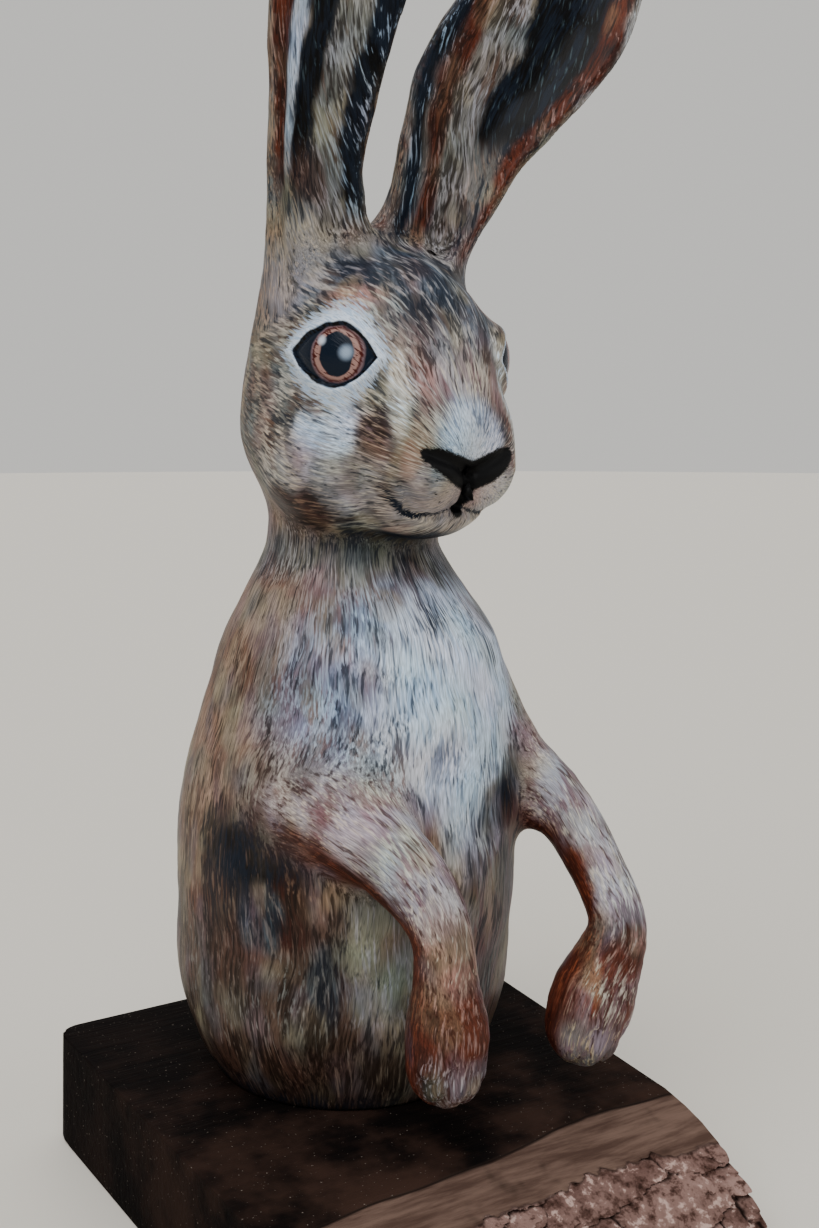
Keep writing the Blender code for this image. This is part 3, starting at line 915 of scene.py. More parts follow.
class Canvas:
    """One material's node tree, with a short way to add nodes and join them up."""

    def __init__(self, name: str) -> None:
        """Starts a material of this name."""
        self.material = bpy.data.materials.new(name)
        self.material.use_nodes = True
        self.tree = self.material.node_tree
        self.shader = self.tree.nodes["Principled BSDF"]

    def add(self, kind: str, feeds: dict, **settings: Any) -> bpy.types.Node:
        """Adds a node.

        Args:
            kind: The node's type, without its "ShaderNode".
            feeds: What each of its inputs gets, a socket to join or a value.
            settings: The node's own settings.

        Returns:
            The new node.
        """
        node = self.tree.nodes.new("ShaderNode" + kind)
        for name, value in settings.items():
            setattr(node, name, value)
        for name, value in feeds.items():
            self.feed(node.inputs[name], value)
        return node

    def feed(self, socket: Socket, value: Any) -> None:
        """Joins a socket to an input, or sets the input's own value.

        Args:
            socket: The input.
            value: A socket, a paint or a plain value.
        """
        if isinstance(value, Socket):
            self.tree.links.new(value, socket)
        elif isinstance(value, Paint):
            socket.default_value = (*value.linear, 1)
        else:
            socket.default_value = value

    def math(self, operation: str, a: Any, b: Any = 0.0, c: Any = 0.0) -> Socket:
        """Returns a sum, product or other result of up to three numbers."""
        return self.add("Math", {0: a, 1: b, 2: c}, operation=operation).outputs[0]

    def fall(self, value: Any, low: Any, high: Any) -> Socket:
        """Returns 1 under low and 0 over high, with a smooth fall between them."""
        feeds = {"Value": value, "From Min": low, "From Max": high, "To Min": 1.0, "To Max": 0.0}
        return self.add("MapRange", feeds, interpolation_type="SMOOTHSTEP").outputs[0]

    def mix(self, share: Any, a: Any, b: Any) -> Socket:
        """Returns one colour laid over another by a share."""
        return self.add("Mix", {0: share, 6: a, 7: b}, data_type="RGBA").outputs[2]

    def between(self, share: Any, a: Any, b: Any) -> Socket:
        """Returns a number from a to b by a share."""
        return self.add("Mix", {0: share, 2: a, 3: b}, data_type="FLOAT").outputs[0]

    def spread(self, value: Any, low: float, high: float) -> Socket:
        """Returns the middle range of a noise as numbers from low to high."""
        feeds = {"Value": value, "From Min": 0.3, "From Max": 0.7, "To Min": low, "To Max": high}
        return self.add("MapRange", feeds).outputs[0]

    def scaled(self, colour: Any, share: Any) -> Socket:
        """Returns a colour made lighter or darker."""
        return self.add("VectorMath", {0: colour, "Scale": share}, operation="SCALE").outputs[0]

    def length(self, across: Any, up: Any) -> Socket:
        """Returns how far a place is from the middle, across and up."""
        squares = [self.math("POWER", part, 2.0) for part in (across, up)]
        return self.math("SQRT", self.math("ADD", *squares))

    def noise(self, vector: Any, scale: float, detail: float, roughness: float = 0.5
              ) -> Socket:
        """Returns smooth noise over a vector."""
        feeds = {"Vector": vector, "Scale": scale, "Detail": detail, "Roughness": roughness}
        return self.add("TexNoise", feeds).outputs[0]

    def place(self) -> Socket:
        """Returns the place on the object."""
        return self.add("TexCoord", {}).outputs["Object"]

    def attribute(self, name: str, output: str = "Fac") -> Socket:
        """Returns one of the mesh's attributes."""
        return self.add("Attribute", {}, attribute_name=name).outputs[output]

    def parts(self, vector: Any) -> bpy.types.NodeOutputs:
        """Returns a vector's three numbers."""
        return self.add("SeparateXYZ", {0: vector}).outputs

    def shifted(self, vector: Any, shift: Triple) -> Socket:
        """Returns a vector moved by a fixed amount."""
        return self.add("VectorMath", {0: vector, 1: shift}, operation="ADD").outputs[0]

    def bump(self, height: Any, strength: float, distance: float) -> Socket:
        """Returns normals that follow a height."""
        feeds = {"Height": height, "Strength": strength, "Distance": distance}
        return self.add("Bump", feeds).outputs[0]

    def dressed(self, **feeds: Any) -> bpy.types.Material:
        """Feeds the shader's inputs, named with _ for each space, and returns the material."""
        for name, value in feeds.items():
            self.feed(self.shader.inputs[name.replace("_", " ")], value)
        return self.material


@dataclass(frozen=True)
class PaintedClay:
    """Strokes of paint on smooth clay under a satin varnish, with glossy painted eyes.

    Attributes:
        roughness: The clay's roughness, which varies by roughness_range either way.
        eye_roughness: The roughness on the eyes.
        shine: How strongly the paint mirrors.
        varnish: How much varnish lies on it.
        stroke_relief: How high the strokes stand, in metres.
        wave: How far the strokes wander.
        iris_radius: The iris's radius in millimetres.
        pupil_width: The pupil's half width.
        pupil_height: Its half height.
        iris: The iris's rings, each (share of its radius, paint).
        painted_highlights: The painted highlights on the eye, each (back, up, size, paint, share).
    """

    roughness: float = 0.45
    roughness_range: float = 0.08
    eye_roughness: float = 0.14
    shine: float = 0.06
    varnish: float = 0.06
    varnish_roughness: float = 0.26
    stroke_relief: float = 0.00035
    wave: float = 0.9
    wave_scale: float = 110.0
    iris_radius: float = 9.4
    pupil_width: float = 5.4
    pupil_height: float = 6.6
    iris: Sequence[tuple[float, Paint]] = (
        (0.52, Paint.TAUPE), (0.64, Paint.ROSE), (0.76, Paint.ROSE), (0.82, Paint.OX_RED),
        (0.89, Paint.MAUVE), (0.97, Paint.INK_BLUE))
    painted_highlights: Sequence[tuple[float, float, float, Paint, float]] = (
        (-3.2, 0.8, 3.2, Paint.PALE_BLUE, 0.72), (5.2, 3.8, 2.1, Paint.CHALK, 0.8))

    def strokes(self, canvas: Canvas, scale: float, detail: float, shift: float,
                lean: float = 0.0) -> Socket:
        """Returns noise drawn out along the brush strokes of both sets.

        Args:
            canvas: The material.
            scale: How fine the strokes are.
            detail: How much finer noise they hold.
            shift: Which strokes they are.
            lean: How far they lean to one side of the fur's run.
        """
        feeds = {"Vector": canvas.place(), "Scale": self.wave_scale, "Detail": 1.0}
        wave = canvas.add("TexNoise", feeds).outputs["Color"]
        wave = canvas.shifted(wave, (shift,) * 3)
        pair = []
        for name in ("fur_a", "fur_b"):
            run = canvas.attribute(name, "Vector")
            side = canvas.math("MULTIPLY", canvas.parts(run)[2], lean)
            run = canvas.shifted(run, canvas.add("CombineXYZ", {0: side}).outputs[0])
            run = canvas.add("VectorMath", {0: wave, 1: (self.wave,) * 3, 2: run},
                             operation="MULTIPLY_ADD")
            pair.append(canvas.noise(run.outputs[0], scale, detail))
        return canvas.between(canvas.attribute("fur_mix"), *pair)

    def laid(self, canvas: Canvas, strokes: Any, cover: Any, edge: float, body: float = 1.0
             ) -> Socket:
        """Finds where strokes lie, for the share that they should cover.

        Args:
            canvas: The material.
            strokes: The strokes' noise.
            cover: The share that they cover.
            edge: How soft their edges are.
            body: How much they hide of what lies under them.

        Returns:
            The paint's thickness, from 0 to body.
        """
        edge_at = canvas.math("MULTIPLY_ADD", cover, 0.42, 0.29)
        low = canvas.math("SUBTRACT", edge_at, edge)
        high = canvas.math("ADD", edge_at, edge)
        return canvas.math("MULTIPLY", canvas.fall(strokes, low, high), body)

    def painted_iris(self, canvas: Canvas, radius: Any, streak: Any) -> Socket:
        """Returns the iris's colour, in rings crossed by streaks.

        Args:
            canvas: The material.
            radius: How far each place is from the eye's middle.
            streak: The noise of the streaks.
        """
        node = canvas.add("ValToRGB", {0: canvas.math("DIVIDE", radius, self.iris_radius)})
        ramp = node.color_ramp
        for place, _ in self.iris[1:-1]:
            ramp.elements.new(place)
        for element, (place, paint) in zip(ramp.elements, self.iris):
            element.position = place
            element.color = (*paint.linear, 1)
        in_iris = canvas.fall(radius, self.iris_radius * 0.84, self.iris_radius * 0.94)
        dark = canvas.math("MULTIPLY", canvas.fall(streak, 0.4, 0.48), in_iris)
        colour = canvas.mix(dark, node.outputs[0], Paint.OX_RED)
        pale = canvas.math("MULTIPLY", canvas.fall(streak, 0.66, 0.58), in_iris)
        return canvas.mix(canvas.math("MULTIPLY", pale, 0.45), colour, Paint.ROSE)

    def paint_eye(self, canvas: Canvas, colour: Any) -> tuple[Any, Any]:
        """Paints the white ring, lids' line, iris, pupil and painted highlights over a colour.

        Args:
            canvas: The material.
            colour: What they are painted over.

        Returns:
            The colour with the eye in it, and a share that is 1 on the eye.
        """
        back, up, lid = canvas.parts(canvas.attribute("eye", "Vector"))
        wobble = canvas.math("SUBTRACT", canvas.noise(canvas.place(), 230.0, 3.0), 0.5)
        lid = canvas.math("MULTIPLY_ADD", wobble, 0.2, lid)
        radius = canvas.math("MULTIPLY_ADD", wobble, 1.1, canvas.length(back, up))
        streak = canvas.noise(canvas.attribute("fur_b", "Vector"), 2.6, 2.0)
        inner = self.painted_iris(canvas, radius, streak)
        pupil = canvas.length(canvas.math("DIVIDE", back, self.pupil_width),
                              canvas.math("DIVIDE", up, self.pupil_height))
        pupil = canvas.math("MULTIPLY_ADD", wobble, 0.3, pupil)
        inner = canvas.mix(canvas.fall(pupil, 0.96, 1.04), inner, Paint.INK_BLUE)
        # Painted highlights on the eye, laid over the iris and the pupil as pale spots.
        for place_back, place_up, size, paint, share in self.painted_highlights:
            spot = canvas.length(canvas.math("SUBTRACT", back, place_back),
                                 canvas.math("SUBTRACT", up, place_up))
            painted_highlight = canvas.math("MULTIPLY", canvas.fall(spot, size * 0.15, size), share)
            inner = canvas.mix(painted_highlight, inner, paint)
        ring = canvas.mix(canvas.fall(streak, 0.42, 0.5), Paint.CHALK, Paint.PALE_BLUE)
        outer = canvas.math("MULTIPLY_ADD", streak, 1.6, canvas.math("SUBTRACT", lid, 0.8))
        colour = canvas.mix(canvas.fall(outer, 1.2, 1.75), colour, ring)
        line = canvas.mix(canvas.fall(streak, 0.46, 0.52), Paint.BONE_BLACK, Paint.INK_BLUE)
        on_eye = canvas.fall(lid, 0.94, 1.02)
        colour = canvas.mix(on_eye, colour, line)
        return canvas.mix(canvas.fall(lid, 0.78, 0.86), colour, inner), on_eye

    def material(self) -> bpy.types.Material:
        """Returns the finish."""
        canvas = Canvas("painted_clay")
        under, mid, light, shade, line_paint = (
            canvas.attribute(name, "Color")
            for name in ("coat_under", "coat_mid", "coat_light", "coat_shade", "line_paint"))
        broad, fine, dark = canvas.parts(canvas.attribute("cover", "Vector"))
        veil_strokes = self.strokes(canvas, 0.28, 4.0, 3.1)
        broad_strokes = self.strokes(canvas, 0.7, 3.0, 7.9, 1.2)
        dark_strokes = self.strokes(canvas, 1.1, 3.0, 11.7, -1.6)
        light_strokes = self.strokes(canvas, 1.35, 3.0, 27.3, 1.4)
        hair = self.strokes(canvas, 3.2, 1.0, 41.9, -0.6)
        blotch = canvas.spread(canvas.noise(canvas.place(), 75.0, 4.0, 0.65), 0.62, 1.35)
        colour = canvas.mix(self.laid(canvas, veil_strokes, broad, 0.14, 0.7),
                            canvas.scaled(under, blotch), mid)
        colour = canvas.mix(self.laid(canvas, broad_strokes, broad, 0.09, 0.8), colour, mid)
        darker = canvas.math("MULTIPLY_ADD", canvas.fall(veil_strokes, 0.4, 0.6), 0.3, dark)
        darker = canvas.math("SUBTRACT", darker, 0.12)
        colour = canvas.mix(self.laid(canvas, dark_strokes, darker, 0.09, 0.8), colour, shade)
        laid_light = self.laid(canvas, light_strokes, fine, 0.09, 0.75)
        colour = canvas.mix(laid_light, colour, light)
        colour = canvas.scaled(colour, canvas.spread(hair, 0.68, 1.28))
        ragged = canvas.math("MULTIPLY_ADD", hair, 2.4, -1.2)
        line = canvas.math("ADD", canvas.attribute("line_gap"), ragged)
        colour = canvas.mix(canvas.fall(line, -0.25, 0.35), colour, line_paint)
        colour, on_eye = self.paint_eye(canvas, colour)
        rough = canvas.spread(hair, self.roughness - self.roughness_range,
                              self.roughness + self.roughness_range)
        relief = canvas.math("MULTIPLY_ADD", hair, 0.6, broad_strokes)
        relief = canvas.math("MULTIPLY_ADD", laid_light, 0.25, relief)
        return canvas.dressed(
            Base_Color=colour, Roughness=canvas.between(on_eye, rough, self.eye_roughness),
            Specular_IOR_Level=self.shine, Coat_Weight=self.varnish,
            Coat_Roughness=self.varnish_roughness,
            Normal=canvas.bump(relief, 0.45, self.stroke_relief))


# The coats of each part of the figure
FLANK = Coat(Paint.TAUPE, Paint.FAWN, Paint.SAND, 0.6, 0.4, 0.26, Paint.DEEP_UMBER)
LOWER = Coat(Paint.UMBER, Paint.TAUPE, Paint.ASH, 0.56, 0.18, 0.42, Paint.DEEP_UMBER)
CHEST = Coat(Paint.SLATE, Paint.PALE_BLUE, Paint.CHALK, 0.56, 0.52, 0.26)
CHEST_SIDE = Coat(Paint.MAUVE, Paint.STORM, Paint.PALE_BLUE, 0.56, 0.38, 0.3)
BREAST = Coat(Paint.STORM, Paint.PALE_BLUE, Paint.CHALK, 0.66, 0.6, 0.2)
NECK = Coat(Paint.CHARCOAL, Paint.ASH, Paint.PEARL, 0.42, 0.26, 0.4)
# Painted shade: near-black paint under the jaw.
UNDER_JAW_PAINTED_SHADE = Coat(Paint.BONE_BLACK, Paint.CHARCOAL, Paint.SMOKE, 0.4, 0.12, 0.5)
# Painted shade: dark paint under the forelegs, where they meet the trunk.
UNDERARM_PAINTED_SHADE = Coat(Paint.BONE_BLACK, Paint.CHARCOAL, Paint.TAUPE, 0.34, 0.1, 0.5)
RUST_PATCH = Coat(Paint.BURNT_RUST, Paint.UMBER, Paint.FAWN, 0.45, 0.16, 0.34, Paint.DEEP_UMBER)
GREEN_PATCH = Coat(Paint.ASH, Paint.SAGE, Paint.PEARL, 0.8, 0.36, 0.04)
BELLY = Coat(Paint.TAUPE, Paint.MAUVE, Paint.ASH, 0.5, 0.26, 0.34)
TEAL_PATCH = Coat(Paint.CHARCOAL, Paint.TEAL_GREY, Paint.ASH, 0.5, 0.28, 0.42)
HEM = Coat(Paint.DEEP_UMBER, Paint.UMBER, Paint.FAWN, 0.5, 0.1, 0.44, Paint.DEEP_UMBER)
FOOT = Coat(Paint.BONE_BLACK, Paint.DEEP_UMBER, Paint.TAUPE, 0.45, 0.1, 0.5)

FACE_FUR = Coat(Paint.TAUPE, Paint.ASH, Paint.WARM_WHITE, 0.56, 0.34, 0.3)
CHEEK_WHITE = Coat(Paint.PEARL, Paint.PALE_BLUE, Paint.CHALK, 0.55, 0.5, 0.1)
CHEEK_CREAM = Coat(Paint.ASH, Paint.PEARL, Paint.WARM_WHITE, 0.6, 0.36, 0.16)
CHEEK_BACK = Coat(Paint.TAUPE, Paint.ASH, Paint.SAND, 0.45, 0.3, 0.36, Paint.DEEP_UMBER)
SMUDGE = Coat(Paint.TAUPE, Paint.MAUVE, Paint.SAND, 0.4, 0.25, 0.5, Paint.DEEP_UMBER)
STRIPE = Coat(Paint.ASH, Paint.WARM_WHITE, Paint.CHALK, 0.6, 0.3, 0.16, Paint.TAUPE)
SIDE_PINK = Coat(Paint.MAUVE, Paint.ROSE, Paint.PEARL, 0.5, 0.28, 0.3, Paint.BURNT_RUST)
MUZZLE = Coat(Paint.STORM, Paint.PALE_BLUE, Paint.CHALK, 0.56, 0.44, 0.18)
BRIDGE = Coat(Paint.MAUVE, Paint.PEARL, Paint.WARM_WHITE, 0.6, 0.36, 0.28, Paint.DEEP_UMBER)
FOREHEAD = Coat(Paint.SMOKE, Paint.SLATE, Paint.PEARL, 0.45, 0.26, 0.5)
PINK_BROW = Coat(Paint.MAUVE, Paint.ROSE, Paint.WARM_WHITE, 0.55, 0.3, 0.26, Paint.DEEP_UMBER)
TEMPLE = Coat(Paint.TEAL_GREY, Paint.STORM, Paint.PEARL, 0.7, 0.4, 0.1)
JAW_RUST = Coat(Paint.DEEP_UMBER, Paint.BURNT_RUST, Paint.FAWN, 0.5, 0.2, 0.4, Paint.DEEP_UMBER)
PAD = Coat(Paint.ASH, Paint.PEARL, Paint.WARM_WHITE, 0.6, 0.46, 0.12)
NOSTRIL_PINK = Coat(Paint.RUST, Paint.ROSE, Paint.WARM_WHITE, 0.4, 0.26, 0.16, Paint.DEEP_UMBER)

EAR_FUR = Coat(Paint.TAUPE, Paint.ASH, Paint.SAND, 0.5, 0.34, 0.3)
EAR_ROOT = Coat(Paint.ASH, Paint.PEARL, Paint.WARM_WHITE, 0.7, 0.34, 0.14)
EAR_ROOT_DARK = Coat(Paint.SMOKE, Paint.MAUVE, Paint.PEARL, 0.5, 0.3, 0.4)
EAR_DARK = Coat(Paint.BONE_BLACK, Paint.BONE_BLACK, Paint.TEAL_GREY, 0.4, 0.1, 0.4)
# Black, with pale blue strokes that paint highlights along the ears' black rims.
EAR_BLACK_PAINTED_HIGHLIGHT = Coat(Paint.BONE_BLACK, Paint.INK_BLUE, Paint.PALE_BLUE, 0.4, 0.2, 0.3)
EAR_RIDGE = Coat(Paint.TAUPE, Paint.ASH, Paint.PEARL, 0.56, 0.36, 0.4, Paint.DEEP_UMBER)
EAR_STRIP = Coat(Paint.STORM, Paint.PALE_BLUE, Paint.CHALK, 0.6, 0.4, 0.18)
EAR_RUST = Coat(Paint.BURNT_RUST, Paint.RUST, Paint.ROSE, 0.45, 0.14, 0.36, Paint.DEEP_UMBER)
EAR_ORANGE = Coat(Paint.BURNT_RUST, Paint.RUST, Paint.ROSE, 0.6, 0.14, 0.26, Paint.DEEP_UMBER)
EAR_RIM_PALE = Coat(Paint.ASH, Paint.PEARL, Paint.CHALK, 0.5, 0.34, 0.2)
EAR_TIP = Coat(Paint.BONE_BLACK, Paint.CHARCOAL, Paint.TAUPE, 0.35, 0.12, 0.4)

SHOULDER = Coat(Paint.TAUPE, Paint.MAUVE, Paint.PEARL, 0.5, 0.3, 0.3, Paint.BURNT_RUST)
FORELEG = Coat(Paint.MAUVE, Paint.PEARL, Paint.WARM_WHITE, 0.56, 0.3, 0.22, Paint.BURNT_RUST)
FORELEG_RUST = Coat(
    Paint.BURNT_RUST, Paint.RUST, Paint.ORANGE_RUST, 0.4, 0.2, 0.4, Paint.BURNT_RUST)
WRIST = Coat(Paint.TAUPE, Paint.ROSE, Paint.WARM_WHITE, 0.5, 0.24, 0.3, Paint.BURNT_RUST)
PAW = Coat(Paint.BURNT_RUST, Paint.RUST, Paint.ROSE, 0.5, 0.22, 0.32, Paint.BURNT_RUST)
PAW_PALE = Coat(Paint.RUST, Paint.MAUVE, Paint.WARM_WHITE, 0.5, 0.26, 0.26, Paint.BURNT_RUST)
TOES = Coat(Paint.CHARCOAL, Paint.TAUPE, Paint.PEARL, 0.5, 0.26, 0.3, Paint.BURNT_RUST)
TOES_PALE = Coat(Paint.MAUVE, Paint.ASH, Paint.CREAM, 0.5, 0.3, 0.2, Paint.BURNT_RUST)


@dataclass(frozen=True)
class PaintScheme:
    """Where each coat lies on the hare, in the order in which they are laid.

    Attributes:
        base: What each region is first painted with.
        lines: Lines drawn on the face, each point (side, up, half width) from ahead.
        islands: Paints scattered in small islands, each with its strength.
        edge_reach: How ragged the dabs' edges are.
        warm: What the tint adds to each channel where it is warm.
        green: What it adds where it is green.
    """

    base: Sequence[tuple[Region, Coat]] = (
        (Region.TRUNK, FLANK), (Region.HEAD, FACE_FUR), (Region.EARS, EAR_FUR),
        (Region.FORELEGS, FORELEG))
    dabs: Sequence[tuple[Region, Sequence[Dab]]] = (
        (Region.TRUNK, (
            Dab(LOWER, (0, 0, 36), (80, 84, 40), 0.9),
            Dab(CHEST_SIDE, (-2, 40, 124), (52, 40, 44)),
            Dab(CHEST, (4, 50, 124), (34, 34, 38)),
            Dab(BREAST, (2, 56, 112), (18, 20, 32), 0.85),
            Dab(CHEST, (12, 50, 88), (20, 24, 24), 0.8),
            # Painted shade under the forelegs.
            Dab(UNDERARM_PAINTED_SHADE, (31, 43, 88), (14, 15, 15)),
            Dab(UNDERARM_PAINTED_SHADE, (18, 50, 86), (13, 10, 9), 0.5),
            Dab(NECK, (0, 4, 163), (40, 44, 15), 0.9),
            # Painted shade under the jaw.
            Dab(UNDER_JAW_PAINTED_SHADE, (-8, 26, 169), (26, 16, 8), 0.7),
            Dab(GREEN_PATCH, (-20, 46, 47), (14, 15, 28), 0.95),
            Dab(BELLY, (22, 46, 50), (26, 24, 36), 0.9),
            # Painted shade under the forelegs, on both flanks.
            Dab(UNDERARM_PAINTED_SHADE, (-46, 24, 78), (22, 26, 13), 0.95, True),
            Dab(UNDERARM_PAINTED_SHADE, (-51, 10, 72), (11, 14, 24), 0.6, True),
            Dab(RUST_PATCH, (-43, 29, 60), (9, 11, 14), 0.95, True),
            Dab(RUST_PATCH, (-51, 10, 46), (12, 12, 16), 0.45, True),
            Dab(TEAL_PATCH, (-47, 22, 58), (9, 8, 12), 0.7, True),
            Dab(TEAL_PATCH, (-35, 36, 42), (4, 7, 16), 0.7),
            Dab(HEM, (0, -8, 12), (70, 72, 20), 0.85),
            Dab(FOOT, (0, -14, 0), (66, 70, 9)),
        )),
        (Region.HEAD, (
            Dab(CHEEK_BACK, (0, -14, 212), (50, 34, 50)),
            Dab(CHEEK_CREAM, (-30, 30, 190), (14, 24, 15), 1.0, True),
            Dab(CHEEK_WHITE, (-31, 35, 202), (12, 15, 9), 0.9, True),
            Dab(BRIDGE, (0, 54, 222), (17, 16, 16)),
            Dab(STRIPE, (-20, 53, 213), (4, 7, 18), 1.0, True),
            Dab(SIDE_PINK, (-12.5, 54, 217), (4.5, 9, 19), 0.7, True),
            Dab(NOSTRIL_PINK, (-15.5, 56, 202), (2.6, 5, 8), 0.8, True),
            Dab(SMUDGE, (-27, 50, 202), (6, 6, 11), 0.9, True),
            Dab(FOREHEAD, (0, 34, 248), (30, 28, 20)),
            Dab(FOREHEAD, (2, 46, 236), (24, 20, 18), 0.7),
            Dab(PINK_BROW, (-24, 36, 241), (11, 12, 6), 0.9, True),
            Dab(TEMPLE, (-38, 16, 250), (14, 16, 14), 0.9, True),
            Dab(MUZZLE, (0, 64, 201), (14, 16, 13), 0.85),
            Dab(JAW_RUST, (-30, 14, 178), (16, 22, 9), 0.95, True),
            # Painted shade under the jaw.
            Dab(UNDER_JAW_PAINTED_SHADE, (0, 28, 168), (30, 26, 6)),
            Dab(PAD, (-9, 54, 183), (15, 16, 11), 1.0, True),
            Dab(NOSTRIL_PINK, (-18.5, 56, 193), (4, 6, 7), 0.85, True),
        )),
        (Region.EARS, (
            Dab(EAR_ROOT, (-22, 20, 250), (22, 18, 26), 0.85),
            Dab(EAR_ROOT_DARK, (16, 20, 256), (20, 16, 24), 0.85),
            Dab(TEMPLE, (0, 16, 250), (40, 30, 10), 0.6),
        )),
    )
    right_ear: Sequence[EarBand] = (
        EarBand(EAR_RUST, (-1.3, -0.62), (0.24, 1.0)),
        EarBand(EAR_STRIP, (-0.64, -0.34), (0.3, 0.95)),
        EarBand(EAR_DARK, (-0.34, 0.08), (0.27, 0.96)),
        EarBand(EAR_RIDGE, (0.1, 0.54), (0.16, 0.92)),
        # The black band by the right ear's rim, with painted highlights.
        EarBand(EAR_BLACK_PAINTED_HIGHLIGHT, (0.54, 0.9), (0.18, 0.96)),
        EarBand(EAR_DARK, (0.88, 1.3), (0.2, 1.0)),
        EarBand(EAR_RUST, (-0.4, 0.3), (0.24, 0.27)),
        EarBand(EAR_RUST, (0.5, 1.3), (0.0, 0.17)),
        EarBand(EAR_DARK, (0.75, 1.3), (0.0, 0.14)),
    )
    left_ear: Sequence[EarBand] = (
        EarBand(EAR_RUST, (-1.4, -0.9), (0.0, 0.5)),
        # The left ear's black rim, with painted highlights.
        EarBand(EAR_BLACK_PAINTED_HIGHLIGHT, (-0.96, -0.7), (0.08, 0.96), 1.0),
        EarBand(EAR_RUST, (-0.7, -0.4), (0.1, 0.9), 1.5),
        EarBand(EAR_RIDGE, (-0.4, 0.08), (0.12, 0.85), 1.7),
        EarBand(EAR_DARK, (0.06, 1.1), (0.34, 0.94), 1.6),
        EarBand(EAR_ORANGE, (0.7, 0.93), (0.16, 0.95)),
        EarBand(EAR_RIM_PALE, (0.95, 1.4), (0.42, 0.95)),
        EarBand(EAR_DARK, (-0.75, -0.2), (0.03, 0.18)),
    )
    forelegs: Sequence[LimbBand] = (
        LimbBand(SHOULDER, (-0.2, 0.15)),
        LimbBand(WRIST, (0.56, 0.76), on_right=True),
        LimbBand(WRIST, (0.56, 0.7), on_right=False),
        LimbBand(PAW, (0.66, 0.8), on_right=False),
        LimbBand(FORELEG_RUST, (0.12, 0.66), 134, 40),
        LimbBand(FORELEG_RUST, (0.3, 0.92), 160, 36, False),
        LimbBand(FORELEG_RUST, (0.5, 0.9), 130, 52),
        LimbBand(FORELEG_RUST, (0.42, 0.6), -20, 26, True),
        LimbBand(PAW, (0.74, 1.1), on_right=True),
        LimbBand(PAW_PALE, (0.74, 1.1), on_right=False),
        LimbBand(FORELEG_RUST, (0.7, 1.0), 150, 46),
        LimbBand(TOES, (0.94, 1.2), -90, 80, True),
        LimbBand(TOES_PALE, (0.92, 1.2), -90, 80, False),
    )
    lines: Sequence[tuple[Paint, Table]] = (
        (Paint.BONE_BLACK, ((12.5, 184, 0.3), (12.6, 184.1, 0.3))),
        (Paint.BONE_BLACK, ((10, 181.5, 0.2), (10.1, 181.6, 0.2))),
        (Paint.BONE_BLACK, ((13, 188, 0.2), (13.1, 188.1, 0.2))),
        (Paint.INK_BLUE, ((24, 187, 0.0), (21, 182.5, 0.3), (17, 179.2, 0.8), (13, 177.4, 0.9),
                          (8, 177.6, 0.5), (4, 178.6, 0.4), (0, 180, 0.5))),
        (Paint.BONE_BLACK, ((15, 195, 2.3), (11.5, 193.6, 3.6), (6, 190.8, 4.4),
                            (0, 188.6, 4.6))),
        (Paint.BONE_BLACK, ((0, 189, 3.6), (0, 184, 2.5), (0, 178.6, 2.2))),
    )
    islands: Sequence[tuple[Region, Sequence[tuple[Paint, float]]]] = (
        (Region.TRUNK, ((Paint.RUST, 0.42), (Paint.SAGE, 0.4), (Paint.LILAC, 0.16),
                        (Paint.SLATE, 0.36), (Paint.UMBER, 0.4), (Paint.CREAM, 0.24))),
        (Region.HEAD, ((Paint.TEAL_GREY, 0.42), (Paint.CREAM, 0.36), (Paint.ROSE, 0.36),
                       (Paint.UMBER, 0.36))),
        (Region.EARS, ((Paint.TEAL_GREY, 0.3), (Paint.CREAM, 0.3))),
        (Region.FORELEGS, ((Paint.RUST, 0.46), (Paint.LILAC, 0.36), (Paint.CREAM, 0.3),
                           (Paint.UMBER, 0.36))),
    )
    island_size: float = 9.0
    density_size: float = 7.0
    edge_size: float = 9.0
    edge_reach: float = 3.0
    tint_size: float = 16.0
    warm: Triple = (0.16, -0.02, -0.13)
    green: Triple = (-0.06, 0.05, -0.03)

    def coats(self, hare: "HareFigure", points: Rows, shares: Rows) -> Rows:
        """Lays every coat.

        Args:
            hare: The figure that is painted.
            points: Its vertices.
            shares: How much each vertex belongs to each region.

        Returns:
            A row for each vertex: four paints, then three shares.
        """
        ragged = points + self.edge_reach * ripple(points, self.edge_size, 1)
        rows = sum(shares[:, [region.value]] * coat.row() for region, coat in self.base)
        layers = [(dab.coat, dab.weight(ragged) * shares[:, region.value])
                  for region, dabs in self.dabs for dab in dabs]
        ears = hare.ears
        near_right = ears.nearer(points)
        on_ear = shares[:, Region.EARS.value]
        wander = ripple(points, self.edge_size, 2)
        for ear, bands, chosen in ((ears.right, self.right_ear, near_right),
                                   (ears.left, self.left_ear, ~near_right)):
            share, across, half_width, through = ear.follow(points)
            place = across / half_width + 0.05 * np.sin(share * 21) + 0.07 * wander[:, 0]
            share = share + 0.03 * wander[:, 1]
            mask = on_ear * chosen
            front = mask * smooth_step(through, -0.8, 0.8)
            layers += [(band.coat, band.weight(place, share) * front) for band in bands]
            layers.append((EAR_TIP, mask * smooth_step(share, 0.84, 0.95)))
        share, angle, on_right = hare.forelegs.around(ragged)
        on_leg = shares[:, Region.FORELEGS.value]
        layers += [(band.coat, band.weight(share, angle, on_right) * on_leg)
                   for band in self.forelegs]
        for coat, weight in layers:
            rows += weight[:, None] * (coat.row() - rows)
        self.scatter(points, shares, rows)
        tint = ripple(points, self.tint_size, 3)
        shift = (1 + tint[:, :1] * np.array(self.warm) + tint[:, 1:2] * np.array(self.green)
                 + tint[:, 2:] * 0.1)
        for start in (0, 3, 6):
            rows[:, start:start + 3] *= shift
        return rows

